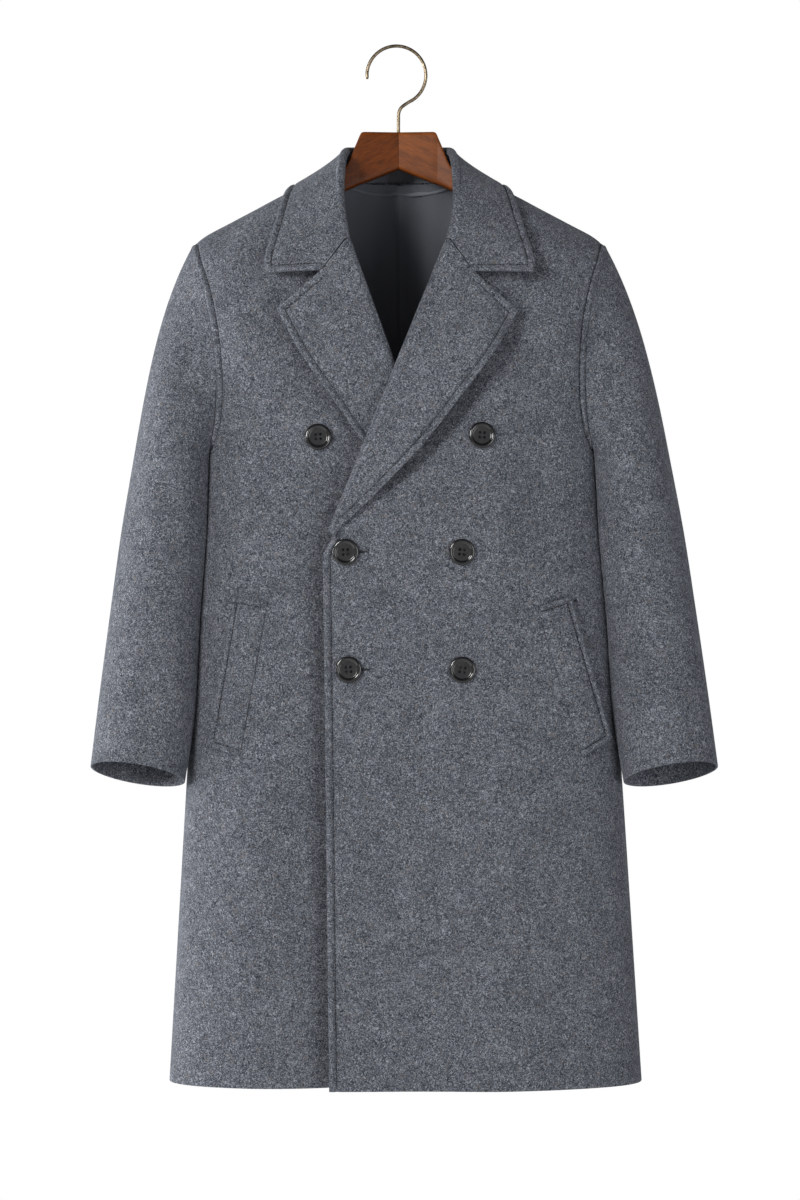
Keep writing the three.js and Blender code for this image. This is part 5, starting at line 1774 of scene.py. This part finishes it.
def under_shoulder(x, y):
    """Height of the roof that the shoulders leave for the hanger."""
    width, front, back, lean = form_columns(np.full(np.shape(x), NECK_Z))
    turn = turn_of((x - lean) / width)
    depth = np.where(y < 0, front, back) * section_at(turn)[1]
    angle = np.where(y < 0, -1, 1) * np.maximum(SEAM_ANGLE, np.arcsin(np.minimum(1, np.abs(y) / depth)))
    gap = mix(CREST_GAP, BESIDE_GAP + CREST_GAP, ease(np.abs(y) / GAP_REACH))
    return shoulder_z(x - lean) - drop_of(angle) - (COAT_WALL + gap) / form_normal(turn, angle)[..., 2]


def make_hanger(name, side, material):
    """One arm of the hanger, from the mitre in its middle to its rounded end."""
    places, sides = HANGER_PLACES, HANGER_SIDES
    form = [np.interp(places, HANGER_ARM[:, 0], column)[:, None] for column in HANGER_ARM[:, 1:].T]
    top, bottom, middle_y, half = form
    square = mix(SQUARE_END, ROUND_ARM, ease((places - ROUND_START) / ROUND_REACH))[:, None]
    a = 2 * math.pi * (np.arange(sides) + 0.5) / sides
    cos, sin = np.cos(a)[None], np.sin(a)[None]
    y = middle_y + half * np.sign(cos) * np.abs(cos) ** square
    z = (top + bottom) / 2 + (top - bottom) / 2 * np.sign(sin) * np.abs(sin) ** square
    x = np.repeat((STEM_X + side * (places + SEAM_GAP / 2))[:, None], sides, 1)
    ceiling = under_shoulder(x, y)
    z = np.where(places[:, None] < NECK_POINT_X, z, np.minimum(z, ceiling))
    rings = np.stack([x, y, z], -1)
    end = rings[-1].mean(0)
    outwards = np.array([side * CAP_BULGE, 0, 0])
    cap = [mix(rings[-1], end, t) + outwards * math.sin(t * QUARTER) for t in CAP_STEPS]
    rings = np.concatenate([rings, cap])
    points = in_metres(rings.reshape(-1, 3))
    piece = add_object(f"wood_hanger_{name}", points, tube_faces(len(rings), sides), material)
    split_edges(piece, CRISP_WOOD)
    settle(piece, "wood", f"hanger_{name}")


def make_hook():
    """The hook: one bent wire, from its tapered tip down into the wood."""
    turn = np.radians(np.linspace(*HOOK_TURNS, HOOK_ARC_STEPS))
    centre_z = HOOK_WIRE - HOOK_RADIUS
    arc_x, arc_z = HOOK_X + HOOK_RADIUS * np.cos(turn), centre_z + HOOK_RADIUS * np.sin(turn)
    arc = np.stack([arc_x, np.full(len(turn), HOOK_Y), arc_z], 1)
    stem = np.array([[STEM_X + beside, HOOK_Y, z] for beside, z in STEM])
    coarse = np.concatenate([arc[:-1:5], arc[-1:], stem])
    steps = np.concatenate([[0], np.cumsum(np.linalg.norm(np.diff(coarse, axis=0), axis=1))])
    path = curve_of(np.concatenate([steps[:, None], coarse], 1))(np.linspace(0, steps[-1], HOOK_STEPS))
    radius = np.full(len(path), HOOK_WIRE)
    radius[: len(HOOK_TIP)] = HOOK_WIRE * np.array(HOOK_TIP)
    rings = tube_points(path, np.array([0, 1.0, 0]), radius, HOOK_SIDES)
    points = in_metres(rings.reshape(-1, 3))
    settle(add_object("wire_hook", points, tube_faces(len(path), HOOK_SIDES), BRASS), "hook", "hook")


make_back()
make_front("left", LEFT)
make_front("right", RIGHT)
make_lapel("left", LEFT)
make_lapel("right", RIGHT)
make_collar()
make_neck_band()
make_lining()
make_sleeves()
for welt_name, (welt_front, welt_corners) in WELTS.items():
    make_welt(welt_name, welt_front, welt_corners)
make_buttons()
make_buttonholes()
make_hanger("left", 1, WOOD_LEFT)
make_hanger("right", -1, WOOD_RIGHT)
make_hook()
# The topstitches take the darkened thread: painted shade of their grooves.
settle_threads("thread_topstitch", topstitch, "wool", SHADED_WOOL_THREAD)

# Studio: a pale floor under the coat and soft light from the upper left
FLOOR_Z = -1.75
FLOOR_HALF = 2.2
LIGHTS_MEET = Vector((0, 0, -0.6))
corners = [(sx * FLOOR_HALF, sy * FLOOR_HALF, FLOOR_Z) for sx, sy in ((-1, -1), (1, -1), (1, 1), (-1, 1))]
floor_mesh = bpy.data.meshes.new("floor")
floor_mesh.from_pydata(corners, [], [(0, 1, 2, 3)])
floor_material, _, _ = new_material("floor", {"Base Color": (0.82, 0.82, 0.82, 1), "Roughness": 0.9})
floor_mesh.materials.append(floor_material)
floor = bpy.data.objects.new("floor", floor_mesh)
bpy.context.scene.collection.objects.link(floor)

world = bpy.data.worlds.new("studio")
world.use_nodes = True
sky = world.node_tree
backdrop = sky.nodes["Background"]
set_inputs(backdrop, {"Color": (1, 1, 1, 1)})
seen = add_node(sky, "ShaderNodeLightPath").outputs["Is Camera Ray"]
around = add_node(sky, "ShaderNodeSeparateXYZ")
join(sky, (add_node(sky, "ShaderNodeTexCoord").outputs["Generated"], around.inputs[0]))
limits = {"From Min": -0.2, "From Max": 0.9, "To Min": 0.34, "To Max": 0.75}
behind = map_range(sky, around.outputs["Y"], limits)
limits = {"From Min": 0.0, "From Max": 0.7, "To Min": 1.0, "To Max": 0.15}
above = map_range(sky, around.outputs["Z"], limits)
glow = maths(sky, "MAXIMUM", seen, maths(sky, "MULTIPLY", behind, above))
join(sky, (glow, backdrop.inputs["Strength"]))
bpy.context.scene.world = world
bpy.context.scene.view_settings.view_transform = "Standard"


def soft_light(name, place, size, power, tint):
    """An area light that looks at the middle of the coat."""
    data = bpy.data.lights.new(name, "AREA")
    data.shape = "RECTANGLE"
    data.size, data.size_y = size
    data.energy = power
    data.color = tint
    light = bpy.data.objects.new(name, data)
    light.location = place
    way = LIGHTS_MEET - Vector(place)
    light.rotation_euler = way.to_track_quat("-Z", "Y").to_euler()
    bpy.context.scene.collection.objects.link(light)


soft_light("key", (-2.0, -3.1, 0.5), (1.1, 1.1), 90, (1.0, 0.99, 0.97))
soft_light("side", (-3.1, 0.3, -0.6), (0.8, 1.6), 88, (1.0, 1.0, 1.0))
soft_light("fill", (2.2, -3.0, -0.9), (2.2, 2.2), 40, (0.98, 0.99, 1.0))
